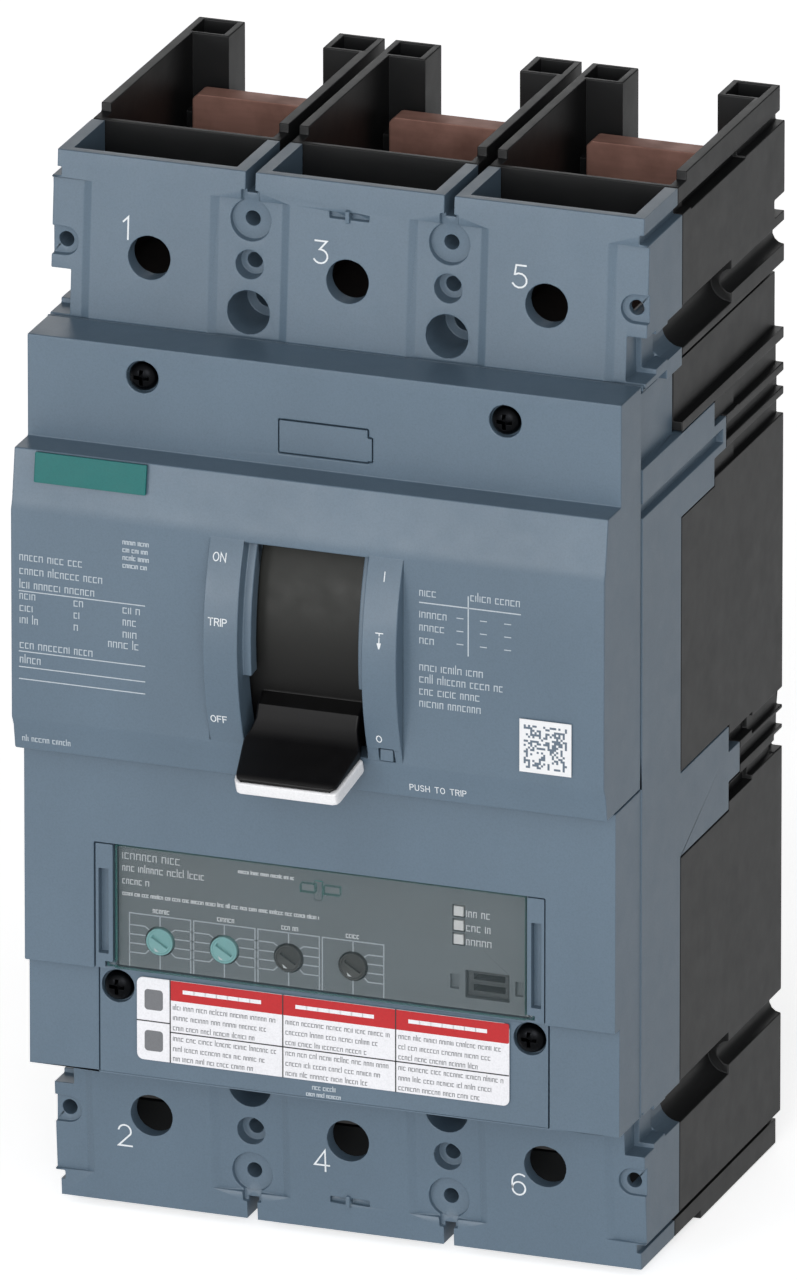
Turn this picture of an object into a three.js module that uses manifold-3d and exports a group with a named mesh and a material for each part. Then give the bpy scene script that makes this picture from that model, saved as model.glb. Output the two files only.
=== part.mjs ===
// Three-pole molded case breaker with an electronic trip unit, in millimetres.
// X points right, Y points from the front face to the back, Z points up to the line side.
// The origin is the centre of the flat back, where the breaker rests on its panel.
// The model is in its OFF position: handle down, contacts open, trip unit cover shut.
import * as THREE from 'three';
import { mergeVertices } from 'three/addons/utils/BufferGeometryUtils.js';
import Module from 'manifold-3d';

const wasm = await Module();
wasm.setup();

// ---------------------------------------------------------------- driving dimensions
const POLES = [-46, 0, 46]; // centre of each pole
const HALF_WIDTH = 69;
const TIER_HALF_WIDTH = 68.75; // front cover and lower front, set in a little
const CLEAR = 0.3; // gap between two pieces that rest on each other
const BACK_SEAM = -67; // seam between the base and the middle housing
const COVER_SEAM = -92.6; // seam between the middle housing and the front cover
const COVER_TOP = 84.9;
const COVER_BOTTOM = -8.35;
const WALL = 2.5;
const CAVITY_HALF_WIDTH = 64.3;
const POLE_WALL = [21, 25]; // wall between two poles, inside
const FLANGE_END = 116.1; // where the full-width part of each terminal end stops
const LIP_START = 118.1;
const LIP_END = 122;
const BARRIER_END = 124;
const LIP_HALF_WIDTH = 67.9;
const GROOVE_HALF_WIDTH = 66.9;
const BEYOND = HALF_WIDTH + 1; // cutting tools run this far to the side
const AHEAD = -130; // and this far to the front

// terminal ends, the same at the top and at the bottom
const TERMINAL_Z = 100; // bolt hole and access hole
const TERMINAL_FACE = -90.5; // front face at TERMINAL_Z
const DRAFT = 0.08; // slope of that face
const ACCESS_RADIUS = 4.9;
const BOLT_HOLE_RADIUS = 5.2; // bolt hole in the copper
// mounting screws: between the poles, and as half holes in the two sides
const MOUNT = {
  x: 23, z: 90.15, head: 4.9, shank: 2.75, post: 6.4, seat: -78, sideSeat: -35, sideHead: 4.6,
};
const BAR = { front: -20.3, back: -14.8, half: 16, neck: 12, end: 113.3, neckEnd: 98 };

// operating mechanism, as (y, z) points in the plane across the poles
const HANDLE_PIVOT = [-60.4, 23.65];
const HANDLE_OFF_ANGLE = THREE.MathUtils.degToRad(20);
const BAND_RADIUS = 60.9; // arched bands beside the handle
const SHIELD_RADIUS = 52.7; // arched slide behind the handle opening
const CROSSBAR_AXIS = [-34, 14];
const CONTACT_OPEN_ANGLE = THREE.MathUtils.degToRad(28);
const LEVER_PIN = [-7, 14]; // pin on the crossbar lever, from its axis, contacts closed
const CRADLE_PIN = [-82, 34];
const UPPER_LINK = 20;
const LOWER_LINK = 21.8;
const TRIP_BAR_AXIS = [-72, -16];

// trip unit
const DIAL_X = [-38.1, -23.1, -8.1, 6.9];
const DIAL_Z = -52.6;
const DIAL_RADIUS = 3.1;
const LAMP_X = 31.45;
const LAMP_Z = [-36.6, -39.9, -43.15];
const LAMP_HALF = 1.15;
const PANEL_FACE = -106;
const DIAL_FACE = -106.6;
const BOARD_FRONT = -91.4; // dials, lamps and test port stop just before the circuit board
const COVER_HINGE = [-107.7, -58.4];

// ---------------------------------------------------------------- materials
const plastic = (color, roughness = 0.55) =>
  new THREE.MeshStandardMaterial({ color, roughness, metalness: 0 });
const metal = (color, roughness = 0.35) =>
  new THREE.MeshStandardMaterial({ color, roughness, metalness: 1 });

const BLUE_GREY = 0x6d7d8c;
const BLACK = 0x3a3c3d;
const DEEP_BLACK = 0x151617;
const COPPER = 0x96604a;
const STEEL = 0xb4b8bb;

// ---------------------------------------------------------------- solids
function toSolid(geometry) {
  const bare = geometry.index ? geometry.clone() : geometry;
  bare.deleteAttribute('normal');
  bare.deleteAttribute('uv');
  const merged = mergeVertices(bare, 1e-4);
  return new wasm.Manifold(new wasm.Mesh({
    numProp: 3,
    vertProperties: new Float32Array(merged.attributes.position.array),
    triVerts: new Uint32Array(merged.index.array),
  }));
}

function toGeometry(solid) {
  const mesh = solid.getMesh();
  const geometry = new THREE.BufferGeometry();
  geometry.setAttribute('position', new THREE.BufferAttribute(mesh.vertProperties, 3));
  geometry.setIndex(new THREE.BufferAttribute(mesh.triVerts, 1));
  const flat = geometry.toNonIndexed();
  flat.computeVertexNormals();
  return flat;
}

const join = (...solids) => solids.flat().reduce((whole, next) => whole.add(next));
const cut = (solid, ...tools) => tools.flat().reduce((rest, tool) => rest.subtract(tool), solid);

function box(x, y, z) {
  const size = [x, y, z].map(([a, b]) => Math.abs(b - a));
  const middle = [x, y, z].map(([a, b]) => (a + b) / 2);
  return toSolid(new THREE.BoxGeometry(...size).translate(...middle));
}

const outline = (points) => new THREE.Shape(points.map(([a, b]) => new THREE.Vector2(a, b)));

function sweep(shape, from, to, basis) {
  const depth = Math.abs(to - from);
  const geometry = new THREE.ExtrudeGeometry(shape, { depth, bevelEnabled: false, curveSegments: 10 });
  return toSolid(geometry.translate(0, 0, Math.min(from, to)).applyMatrix4(basis));
}

const axes = (u, v, w) => new THREE.Matrix4().makeBasis(...[u, v, w].map((a) => new THREE.Vector3(...a)));
const ALONG_X = axes([0, 1, 0], [0, 0, 1], [1, 0, 0]);
const ALONG_Y = axes([1, 0, 0], [0, 0, 1], [0, -1, 0]);
const ALONG_Z = axes([1, 0, 0], [0, 1, 0], [0, 0, 1]);

// prisms: an outline in the plane across the named axis, between two places along it
const prismX = (points, from, to) => sweep(outline(points), from, to, ALONG_X); // (y, z)
const prismY = (points, from, to) => sweep(outline(points), -from, -to, ALONG_Y); // (x, z)
const prismZ = (points, from, to) => sweep(outline(points), from, to, ALONG_Z); // (x, y)

function rod(radius, from, to, place, turn, sides) {
  const geometry = new THREE.CylinderGeometry(radius, radius, Math.abs(to - from), sides);
  geometry.translate(0, (from + to) / 2, 0);
  return toSolid(turn(geometry).translate(...place));
}
const rodX = (radius, [y, z], from, to, sides = 12) =>
  rod(radius, -from, -to, [0, y, z], (g) => g.rotateZ(Math.PI / 2), sides);
const rodY = (radius, [x, z], from, to, sides = 32) =>
  rod(radius, from, to, [x, 0, z], (g) => g, sides);
const rodZ = (radius, [x, y], from, to, sides = 10) =>
  rod(radius, from, to, [x, y, 0], (g) => g.rotateX(Math.PI / 2), sides);

const arc = (centre, radius, start, end, steps) => Array.from({ length: steps + 1 }, (_, i) => {
  const angle = THREE.MathUtils.degToRad(start + (end - start) * i / steps);
  return [centre[0] + radius * Math.cos(angle), centre[1] + radius * Math.sin(angle)];
});

// part of a ring about the X axis: angles in degrees, 180 points to the front
const ringSector = (centre, inner, outer, start, end, x0, x1, steps = 16) =>
  prismX([...arc(centre, outer, start, end, steps), ...arc(centre, inner, end, start, steps)], x0, x1);

// a flat bar with round ends between two points of the (y, z) plane
function strap(a, b, radius, x0, x1) {
  const heading = THREE.MathUtils.radToDeg(Math.atan2(b[1] - a[1], b[0] - a[0]));
  return prismX([...arc(a, radius, heading + 90, heading + 270, 6),
    ...arc(b, radius, heading - 90, heading + 90, 6)], x0, x1);
}

const breaker = new THREE.Group();
function addPiece(name, solid, material, parent = breaker) {
  const mesh = new THREE.Mesh(toGeometry(solid), material);
  mesh.name = name;
  parent.add(mesh);
  return mesh;
}

function turnedGroup([y, z], angle) {
  const group = new THREE.Group();
  group.position.set(0, y, z);
  group.rotation.x = angle;
  breaker.add(group);
  return group;
}

const ENDS = [1, -1]; // line end at the top, load end at the bottom
const SIDES = [1, -1]; // right and left
const faceAt = (z) => TERMINAL_FACE + DRAFT * (Math.abs(z) - TERMINAL_Z);
const span = (a, b, sign) => [a * sign, b * sign];
const about = (centre, half) => [centre - half, centre + half];

// ---------------------------------------------------------------- base housing
// tongues of the middle housing that lie in cut-outs of the base's sides
const TONGUES = [
  { z: [46.3, 65.6], y: [BACK_SEAM, -45.6] },
  { z: [52.5, 59.9], y: [-46, -38] },
  { z: [-32.8, -13.3], y: [BACK_SEAM, -35.5] },
  { z: [-26.3, -19.3], y: [-36, -28.2] },
];
const TONGUE_INNER = 66.5;

// grooves in each side of the base: how far out the groove floor lies, then its y and z range
const BASE_SEAM = BACK_SEAM + CLEAR / 2;
const BASE_GROOVES = [
  [65.9, [BASE_SEAM - 1, 1], [80.7, 83.4]],
  [66.9, [BASE_SEAM - 1, 1], [68.1, 81]],
  [67.9, [-45.5, -29], [60, 65.3]],
  [67.2, [-30, 1], [59.9, 65.5]],
  [67.4, [-38, 1], [54.3, 57.9]],
  [67.4, [-30, 1], [48.1, 52.4]],
  [67.9, [-45.5, -29], [48.1, 52.4]],
  [66.7, [-6.5, 1], [95.2, 99.4]],
  [66.7, [-35.4, -20], [-19.3, -15.2]],
  [66.7, [-35.4, -20], [-31, -27]],
  [67.6, [-28.3, 1], [-24.8, -21.1]],
  [66.6, [-5.3, 1], [-29.9, -25.7]],
  [67.7, [-20, 1], [-20.2, -16.2]],
  [67.7, [-20, -5], [-30, -27]],
  [68, [-50, -30], [-117.2, -116.2]],
  [65.9, [-61.5, -26], [115.6, 118]],
];

const INNER_MOUNTS = [-MOUNT.x, MOUNT.x];
const SIDE_MOUNTS = [-HALF_WIDTH, HALF_WIDTH];
const mountingRods = (places, from, to, radius, sides) => ENDS.flatMap((end) =>
  places.map((x) => rodY(radius, [x, MOUNT.z * end], from, to, sides)));
const mountingPosts = (from, to) => mountingRods(INNER_MOUNTS, from, to, MOUNT.post, 12);

// the back part of one terminal compartment, round the bar and open to the back
function barChannels(c, end) {
  const floor = BAR.back + CLEAR;
  const channels = [
    box(about(c, 19.5), [-65.4, floor], span(86.5, 130, end)),
    box(about(c, 19.5), [BASE_SEAM - 1, -60], span(86.5, 106, end)),
    box(about(c, 17), [BAR.front - CLEAR, floor], span(80, 90, end)),
    box(about(c, 11), [floor - 1, 1], span(107, 130, end)),
    box(about(c, 7), [-6.5, floor + 1], span(92.5, 107.5, end)),
  ];
  for (const side of SIDES) {
    const across = (a, b) => span(a, b, side).map((x) => c + x);
    channels.push(box(across(12.6, 20.2), [-9.5, -1.2], span(103, 130, end)),
      box(across(11, 19.5), [floor - 1, -10.6], span(107, 130, end)));
  }
  return channels;
}

function baseHousing() {
  let base = box(about(0, HALF_WIDTH), [BASE_SEAM, 0], about(0, FLANGE_END));
  for (const end of ENDS) {
    const barrierFront = end > 0 ? -61.6 : -50;
    base = join(base,
      box(about(0, GROOVE_HALF_WIDTH), [BASE_SEAM, 0], span(FLANGE_END - 1, LIP_START + 1, end)),
      box(about(0, LIP_HALF_WIDTH), [BASE_SEAM, 0], span(LIP_START, LIP_END, end)),
      box(about(0, LIP_HALF_WIDTH), [barrierFront, 0], span(LIP_END - 1, BARRIER_END, end)));
  }
  // pole chambers, then terminal compartments with a slot between the poles
  for (const x of [[-CAVITY_HALF_WIDTH, -POLE_WALL[1]], about(0, POLE_WALL[0]),
    [POLE_WALL[1], CAVITY_HALF_WIDTH]]) {
    base = cut(base, box(x, [BASE_SEAM - 1, -4], about(0, 83.5)));
  }
  for (const end of ENDS) {
    for (const c of POLES) base = cut(base, barChannels(c, end));
    for (const side of SIDES) {
      base = cut(base, box(span(21.8, 24.2, side), [BASE_SEAM - 1, 1], span(97, 130, end)));
    }
  }
  // posts and walls round the mounting screws
  const sideWalls = join(SIDES.map((side) => box(span(60, HALF_WIDTH, side), [BASE_SEAM, 0],
    about(0, 100))));
  base = join(base, mountingPosts(BASE_SEAM, 0),
    join(mountingRods(SIDE_MOUNTS, BASE_SEAM, 0, MOUNT.post, 12)).intersect(sideWalls));
  base = cut(base, mountingRods(INNER_MOUNTS, BASE_SEAM - 1, 1, MOUNT.shank, 14),
    mountingRods(SIDE_MOUNTS, BASE_SEAM - 1, MOUNT.sideSeat, MOUNT.head, 28),
    mountingRods(SIDE_MOUNTS, MOUNT.sideSeat - 1, 1, MOUNT.shank, 14));
  // bearings of the crossbar, open to the front
  const [axisY, axisZ] = CROSSBAR_AXIS;
  for (const side of SIDES) {
    const wallSpan = span(POLE_WALL[0] - 1, POLE_WALL[1] + 1, side);
    base = cut(base, rodX(6.4, CROSSBAR_AXIS, ...wallSpan, 16),
      box(wallSpan, [BASE_SEAM - 1, axisY], about(axisZ, 6.4)));
  }
  for (const side of SIDES) {
    for (const { y, z } of TONGUES) {
      base = cut(base, box(span(TONGUE_INNER - CLEAR, BEYOND, side), [y[0] - 1, y[1] + CLEAR],
        [z[0] - CLEAR, z[1] + CLEAR]));
    }
    for (const [x, y, z] of BASE_GROOVES) base = cut(base, box(span(x, BEYOND, side), y, z));
  }
  return base;
}
addPiece('base_housing', baseHousing(), plastic(BLACK));

// ---------------------------------------------------------------- middle housing
const TRIP_POCKET = { x: 52.5, top: -30.1, bottom: COVER_TOP * -1 };
const UPPER_FRONT = -108.85; // face beside the trip unit
const LOWER_FRONT = -105.95; // face of the lower label plate
const COVER_SCREW = { x: 42, z: 78, recess: 3.7, head: 3.35, length: 17 };
const PLATE_SCREW = { x: 48, z: -64.3, recess: 3.8, head: 3.45, length: 12 };
const SCREW_SHANK = 1.6;
const SCREW_SOCKET = 1.9;
const SCREW_WAY = 2.3; // clear hole in the cover and in the lower plate

// half widths of both housings seen from the front, from the middle to one end
const WIDTH_STEPS = [[HALF_WIDTH, FLANGE_END], [GROOVE_HALF_WIDTH, LIP_START], [LIP_HALF_WIDTH, LIP_END]];

function frontOutline(end, steps) {
  const edge = [];
  let from = 0;
  for (const [half, to] of steps) {
    edge.push([half, from * end], [half, to * end]);
    from = to;
  }
  return [...edge, ...edge.map(([x, z]) => [-x, z]).reverse()];
}

function housingOuter(back) {
  const seam = COVER_SEAM + CLEAR / 2;
  const bottom = COVER_BOTTOM - CLEAR / 2;
  const ends = ENDS.map((end) => prismX([[back, 0], [seam, 0], [seam, COVER_TOP * end],
    [faceAt(COVER_TOP), COVER_TOP * end], [faceAt(LIP_END), LIP_END * end],
    [back, LIP_END * end]], -75, 75).intersect(prismY(frontOutline(end, WIDTH_STEPS), -95, back)));
  return join(ends, prismX([[-88, bottom], [UPPER_FRONT, bottom], [UPPER_FRONT, -59.6],
    [LOWER_FRONT, -59.6], [LOWER_FRONT, -COVER_TOP], [-88, -COVER_TOP]], -TIER_HALF_WIDTH,
  TIER_HALF_WIDTH));
}

// tools that lie against the drafted terminal face: built with the face at y = 0, z from TERMINAL_Z
function onTerminalFace(geometry, end) {
  return toSolid(geometry.rotateX(-Math.atan(DRAFT) * end).translate(0, TERMINAL_FACE, TERMINAL_Z * end));
}

// shallow recesses beside each pole of a terminal face, with sloped sides
const FACE_RECESSES = [[15.7, 30.3], [-30.3, -15.7], [61.7, 70], [-70, -61.7]];
const RECESS = { depth: 0.8, slope: 1.9, end: 15.7 };
const FACE_SCREW = { z: 110.9, radius: 4.7, floor: -87.4 };
const FACE_HOLE = { z: 100.9, radius: 3.25, floor: -86.2 };
const SIDE_HOLE = { x: 66, z: 101.3, radius: 3.2, depth: 2.1 };
const PILOT_RADIUS = 1.7;
const EYELET = { z: 114.6, half: 4.6, post: 0.47, rise: 0.9, depth: 1.3 };

function faceRecess([a, b], end) {
  const [slopeA, slopeB] = [a, b].map((x) => (Math.abs(x) === 70 ? 0 : RECESS.slope));
  const profile = outline([[a - slopeA, -0.5], [a - slopeA, 0], [a, RECESS.depth],
    [b, RECESS.depth], [b + slopeB, 0], [b + slopeB, -0.5]]);
  const length = FLANGE_END - COVER_TOP + 0.4;
  const start = end > 0 ? RECESS.end - length : -RECESS.end;
  const geometry = new THREE.ExtrudeGeometry(profile, { depth: length, bevelEnabled: false });
  return onTerminalFace(geometry.translate(0, 0, start), end);
}

function terminalFaceCuts(end) {
  const tools = FACE_RECESSES.map((recess) => faceRecess(recess, end));
  const drill = (x, z, radius, floor, sides) =>
    tools.push(rodY(radius, [x, z * end], AHEAD, floor, sides));
  for (const c of POLES) drill(c, TERMINAL_Z, ACCESS_RADIUS, -80);
  for (const side of SIDES) {
    const x = MOUNT.x * side;
    drill(x, FACE_SCREW.z, FACE_SCREW.radius, FACE_SCREW.floor);
    drill(x, FACE_SCREW.z, PILOT_RADIUS, -80, 24);
    drill(x, FACE_HOLE.z, FACE_HOLE.radius, FACE_HOLE.floor, 24);
    drill(x, FACE_HOLE.z, PILOT_RADIUS, -80, 24);
    // keyway from the screw to the slot between the poles
    tools.push(box(about(x, 2.1), [AHEAD, -87.8], span(114, 117.8, end)),
      box(about(x, 1.15), [AHEAD, BACK_SEAM + 1], span(117, 123, end)));
    // screw seat and notch at the outer edge
    const seat = faceAt(SIDE_HOLE.z) + SIDE_HOLE.depth;
    drill(SIDE_HOLE.x * side, SIDE_HOLE.z, PILOT_RADIUS, -80, 24);
    drill(SIDE_HOLE.x * side, SIDE_HOLE.z, SIDE_HOLE.radius, seat, 24);
    tools.push(box(span(SIDE_HOLE.x, BEYOND, side), [AHEAD, seat],
      span(SIDE_HOLE.z - SIDE_HOLE.radius, SIDE_HOLE.z + SIDE_HOLE.radius, end)),
    box(span(64.4, BEYOND, side), [AHEAD, -84], span(COVER_TOP, 95, end)),
    box(span(65.6, BEYOND, side), [-85, -76], span(86, 94, end)));
  }
  // slot of the sealing eyelet on the middle pole
  tools.push(box(about(0, EYELET.half), [AHEAD, faceAt(EYELET.z) + EYELET.depth],
    span(EYELET.z - 0.75, EYELET.z + 0.75, end)));
  return tools;
}

function middleHousing() {
  const back = BACK_SEAM - CLEAR / 2;
  const seam = COVER_SEAM + CLEAR / 2;
  let body = housingOuter(back);
  for (const end of ENDS) {
    for (const c of POLES) {
      body = cut(body, box(about(c, 18.9), [-86.4, BACK_SEAM + 1], span(87.5, 130, end)));
    }
    // wall behind the notch and the half hole of each side
    for (const side of SIDES) {
      body = join(body, box(span(62.6, 66, side), [-88, back], span(84, 98, end)));
    }
  }
  // one open chamber behind the front wall, kept clear of the terminal pockets
  const chamberEnd = 82.4;
  body = cut(body,
    box(about(0, CAVITY_HALF_WIDTH), [seam + WALL, BACK_SEAM + 1], about(0, chamberEnd)),
    box(about(0, CAVITY_HALF_WIDTH), [LOWER_FRONT + 4.9, BACK_SEAM + 1], [-chamberEnd, -11.4]),
    box(about(0, POLE_WALL[0]), [seam - 1, BACK_SEAM], [-6, 78]),
    box(about(0, 17.5), [-105, -85], [-12.5, -5]));
  for (const side of SIDES) {
    const x = span(...POLE_WALL, side);
    body = join(body, box(x, [-80, back], [-7, 84]), box(x, [-80, back], [-84, -24]));
    // accessory compartment beside the mechanism, open to the front
    body = cut(body, box(span(30, 60, side), [seam - 1, seam + WALL + 1], [4, 56]));
  }
  body = join(body, mountingPosts(-88, back));
  for (const end of ENDS) {
    const face = faceAt(EYELET.z);
    body = join(cut(body, terminalFaceCuts(end)),
      box(about(-0.2, EYELET.post), [face - EYELET.rise, face + EYELET.depth + 0.2],
        span(EYELET.z - 1.4, EYELET.z + 1.4, end)));
  }
  body = cut(body, mountingRods(INNER_MOUNTS, AHEAD, MOUNT.seat, MOUNT.head, 28),
    mountingRods(INNER_MOUNTS, MOUNT.seat - 1, BACK_SEAM + 1, MOUNT.shank, 24),
    mountingRods(SIDE_MOUNTS, -76.5, BACK_SEAM + 1, MOUNT.sideHead, 28));
  // opening of the trip unit, with a seat for the lower label plate
  const pocket = TRIP_POCKET;
  body = cut(body,
    box(about(0, pocket.x), [AHEAD, -102.4], [pocket.top, pocket.bottom + 0.15]),
    box(about(0, pocket.x - 2), [AHEAD, -90], [pocket.top - 0.5, -60]));
  for (const side of SIDES) {
    const plateScrew = [PLATE_SCREW.x * side, PLATE_SCREW.z];
    const coverScrew = [COVER_SCREW.x * side, COVER_SCREW.z];
    body = join(body, rodY(4.6, plateScrew, -102.4, -90, 12), rodY(4.2, coverScrew, -90.5, -88.5, 12));
    body = cut(body, rodY(SCREW_SOCKET, plateScrew, -104, -89, 8),
      rodY(SCREW_SOCKET, coverScrew, -95, -84, 8));
  }
  // sides: tongues over the base, then grooves
  for (const side of SIDES) {
    for (const { y, z } of TONGUES) {
      body = join(body, box(span(TONGUE_INNER, HALF_WIDTH, side), [y[0] - 2, y[1]], z));
    }
    body = cut(body,
      box(span(67.4, BEYOND, side), [seam - 0.1, -40], [54.4, 57.6]),
      box(span(66.8, BEYOND, side), [seam - 0.1, back + 0.1], [65.6, 81.4]),
      box(span(65.6, BEYOND, side), [seam - 0.1, -77], [81.2, 83.6]));
  }
  return body;
}
addPiece('mid_housing', middleHousing(), plastic(BLUE_GREY));

// ---------------------------------------------------------------- front cover
const WINDOW = { x: 10.2, bottom: 64.6, top: 72 };
const COVER_FACES = { upper: -105.8, edge: 61.4, stripTop: -114, stripBottom: -115.7, front: -116.5 };
const OPENING = { x: 14.35, z: [0.4, 46.8] }; // for the handle
const BANDS = { outside: 22.4, start: 154, end: 206, lining: 12.4 };
const BUTTON = { x: [17.3, 20.3], z: [0.5, 3.2] };

function frontCover() {
  const seam = COVER_SEAM - CLEAR / 2;
  const bottom = COVER_BOTTOM + CLEAR / 2;
  const { upper, edge, stripTop, stripBottom, front } = COVER_FACES;
  const shell = prismX([[seam, COVER_TOP], [upper, COVER_TOP], [upper, edge], [stripTop, edge],
    [stripBottom, 50], [front, 47.8], [front, -0.2], [-115.2, -2.96], [-114.3, bottom],
    [seam, bottom]], -TIER_HALF_WIDTH, TIER_HALF_WIDTH);
  const hollow = prismX([[seam + 1, COVER_TOP - WALL], [upper + WALL, COVER_TOP - WALL],
    [upper + WALL, edge - WALL], [stripTop + WALL, edge - WALL], [stripBottom + WALL, 49],
    [front + WALL, 46], [front + WALL, 1.4], [-112, bottom + WALL],
    [seam + 1, bottom + WALL]], -CAVITY_HALF_WIDTH, CAVITY_HALF_WIDTH);
  let cover = cut(shell, hollow);
  for (const side of SIDES) {
    cover = join(cover, ringSector(HANDLE_PIVOT, SHIELD_RADIUS + 0.9, BAND_RADIUS, BANDS.start,
      BANDS.end, ...span(OPENING.x, BANDS.outside, side)));
  }
  cover = join(cover, box(about(0, 22), [-115, -109.2], [OPENING.z[1], 50]),
    box(about(0, 22), [-115, -109.2], [-2.8, OPENING.z[0]]));
  cover = cut(cover, box(about(0, OPENING.x), [AHEAD, -100], OPENING.z));
  // lining of the opening, behind the bands
  for (const side of SIDES) {
    cover = join(cover, ringSector(HANDLE_PIVOT, SHIELD_RADIUS + 1.2, BAND_RADIUS - 3.3, 154.2,
      187.3, ...span(BANDS.lining, OPENING.x + 0.65, side)));
  }
  // way for the arched slide through the lower edge
  cover = cut(cover, box(about(0, 17.5), [-106, -90], [-10, -4]));
  // trip button, cover screws and the knock-out window
  cover = cut(cover, box([BUTTON.x[0] - CLEAR, BUTTON.x[1] + CLEAR], [-120, -100],
    [BUTTON.z[0] - CLEAR, BUTTON.z[1] + CLEAR]));
  for (const side of SIDES) {
    const place = [COVER_SCREW.x * side, COVER_SCREW.z];
    cover = join(cover, rodY(4.6, place, -105, -93.2, 12));
    cover = cut(cover, rodY(COVER_SCREW.recess, place, -107, -104.2, 28),
      rodY(SCREW_WAY, place, -107, -90, 8));
  }
  cover = cut(cover, box(about(0, WINDOW.x + CLEAR), [-107, -104.4],
    [WINDOW.bottom - CLEAR, WINDOW.top + CLEAR]),
  box([WINDOW.x, 11.5], [-107, -104.4], [64.6, 70.4]),
  box(about(0, WINDOW.x - 1.5), [-107, -102], [WINDOW.bottom + 1, WINDOW.top - 1]));
  return cover;
}
addPiece('front_cover', frontCover(), plastic(BLUE_GREY));

addPiece('accessory_window', join(
  box(about(0, WINDOW.x), [COVER_FACES.upper, -104.7], [WINDOW.bottom, WINDOW.top]),
  box(about(0, WINDOW.x - 2), [-105, -102.4], [WINDOW.bottom + 1.5, WINDOW.top - 1.5]),
  box([WINDOW.x - 1, 11.2], [COVER_FACES.upper, -104.7], [64.9, 70.1])), plastic(BLUE_GREY));

// blank badge on the sloped strip, and a square code plate
const stripAngle = Math.atan2(COVER_FACES.stripTop - COVER_FACES.stripBottom, COVER_FACES.edge - 50);
const badge = addPiece('badge_plate', box(about(0, 12.95), [-0.8, -0.1], about(0, 3.4)),
  plastic(0x26807f, 0.4));
badge.position.set(-50.5, -114.8, 57.8);
badge.rotation.x = -stripAngle;
addPiece('code_plate', box([49.4, 61.4], [-117, -116.8], [2, 14.2]), plastic(0xd8dadb, 0.5));

// ---------------------------------------------------------------- screws and lower plate
function crossHeadScrew({ head, length }) {
  const points = [[0, -1.9], [head * 0.55, -1.6], [head * 0.88, -1], [head, -0.3], [head, 0.6],
    [SCREW_SHANK, 0.6], [SCREW_SHANK, length], [0, length]];
  const turned = toSolid(new THREE.LatheGeometry(points.map(([r, y]) => new THREE.Vector2(r, y)), 20));
  return cut(turned, box(about(0, 2), [-3, -1.1], about(0, 0.45)),
    box(about(0, 0.45), [-3, -1.1], about(0, 2)));
}
const screwMaterial = metal(0x1c1d1e, 0.35);
for (const [name, side] of [['left', -1], ['right', 1]]) {
  addPiece(`cover_screw_${name}`, crossHeadScrew(COVER_SCREW), screwMaterial)
    .position.set(COVER_SCREW.x * side, -104.9, COVER_SCREW.z);
  addPiece(`plate_screw_${name}`, crossHeadScrew(PLATE_SCREW), screwMaterial)
    .position.set(PLATE_SCREW.x * side, -105.2, PLATE_SCREW.z);
}

function lowerPlate() {
  let plate = box(about(0, 52.2), [LOWER_FRONT, -102.7], [-84.7, -59.8]);
  for (const side of SIDES) {
    const place = [PLATE_SCREW.x * side, PLATE_SCREW.z];
    plate = cut(plate, rodY(PLATE_SCREW.recess, place, -107, -104.5),
      rodY(SCREW_WAY, place, -107, -100, 16));
  }
  return plate;
}
addPiece('lower_plate', lowerPlate(), plastic(BLUE_GREY));
addPiece('rating_label', box(about(0, 43.4), [-106.5, -106.25], [-80.5, -61.2]), plastic(0xe6e6ea, 0.5));

// ---------------------------------------------------------------- trip unit
const PORT = { x: [33.3, 42.9], z: [-56.2, -50.4] }; // test port, right of the lamps
function tripUnitBody() {
  const x = 47.7;
  const top = -31;
  const bottom = -59.2;
  const back = -88;
  let body = cut(box(about(0, x), [PANEL_FACE, back], [bottom, top]),
    box(about(0, x - 1.6), [PANEL_FACE + 1.8, back + 1], [bottom + 1.4, top - 1.4]));
  for (const dialX of DIAL_X) {
    body = cut(body, rodY(DIAL_RADIUS + 0.35, [dialX, DIAL_Z], -110, -100, 24));
  }
  for (const z of LAMP_Z) {
    body = cut(body, box(about(LAMP_X, LAMP_HALF + CLEAR), [AHEAD, -100],
      about(z, LAMP_HALF + CLEAR)));
  }
  // way for the test port, with a key slot at each side of it
  return cut(body, box([PORT.x[0] - CLEAR, PORT.x[1] + CLEAR], [AHEAD, -100],
    [PORT.z[0] - CLEAR, PORT.z[1] + CLEAR]),
  box([29.5, 31.5], [AHEAD, PANEL_FACE + 1.2], [-54.8, -51.4]),
  box([44.6, 46.4], [AHEAD, PANEL_FACE + 1.2], [-54.8, -51.4]));
}
addPiece('trip_unit_body', tripUnitBody(), plastic(0x6d7678, 0.45));

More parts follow.
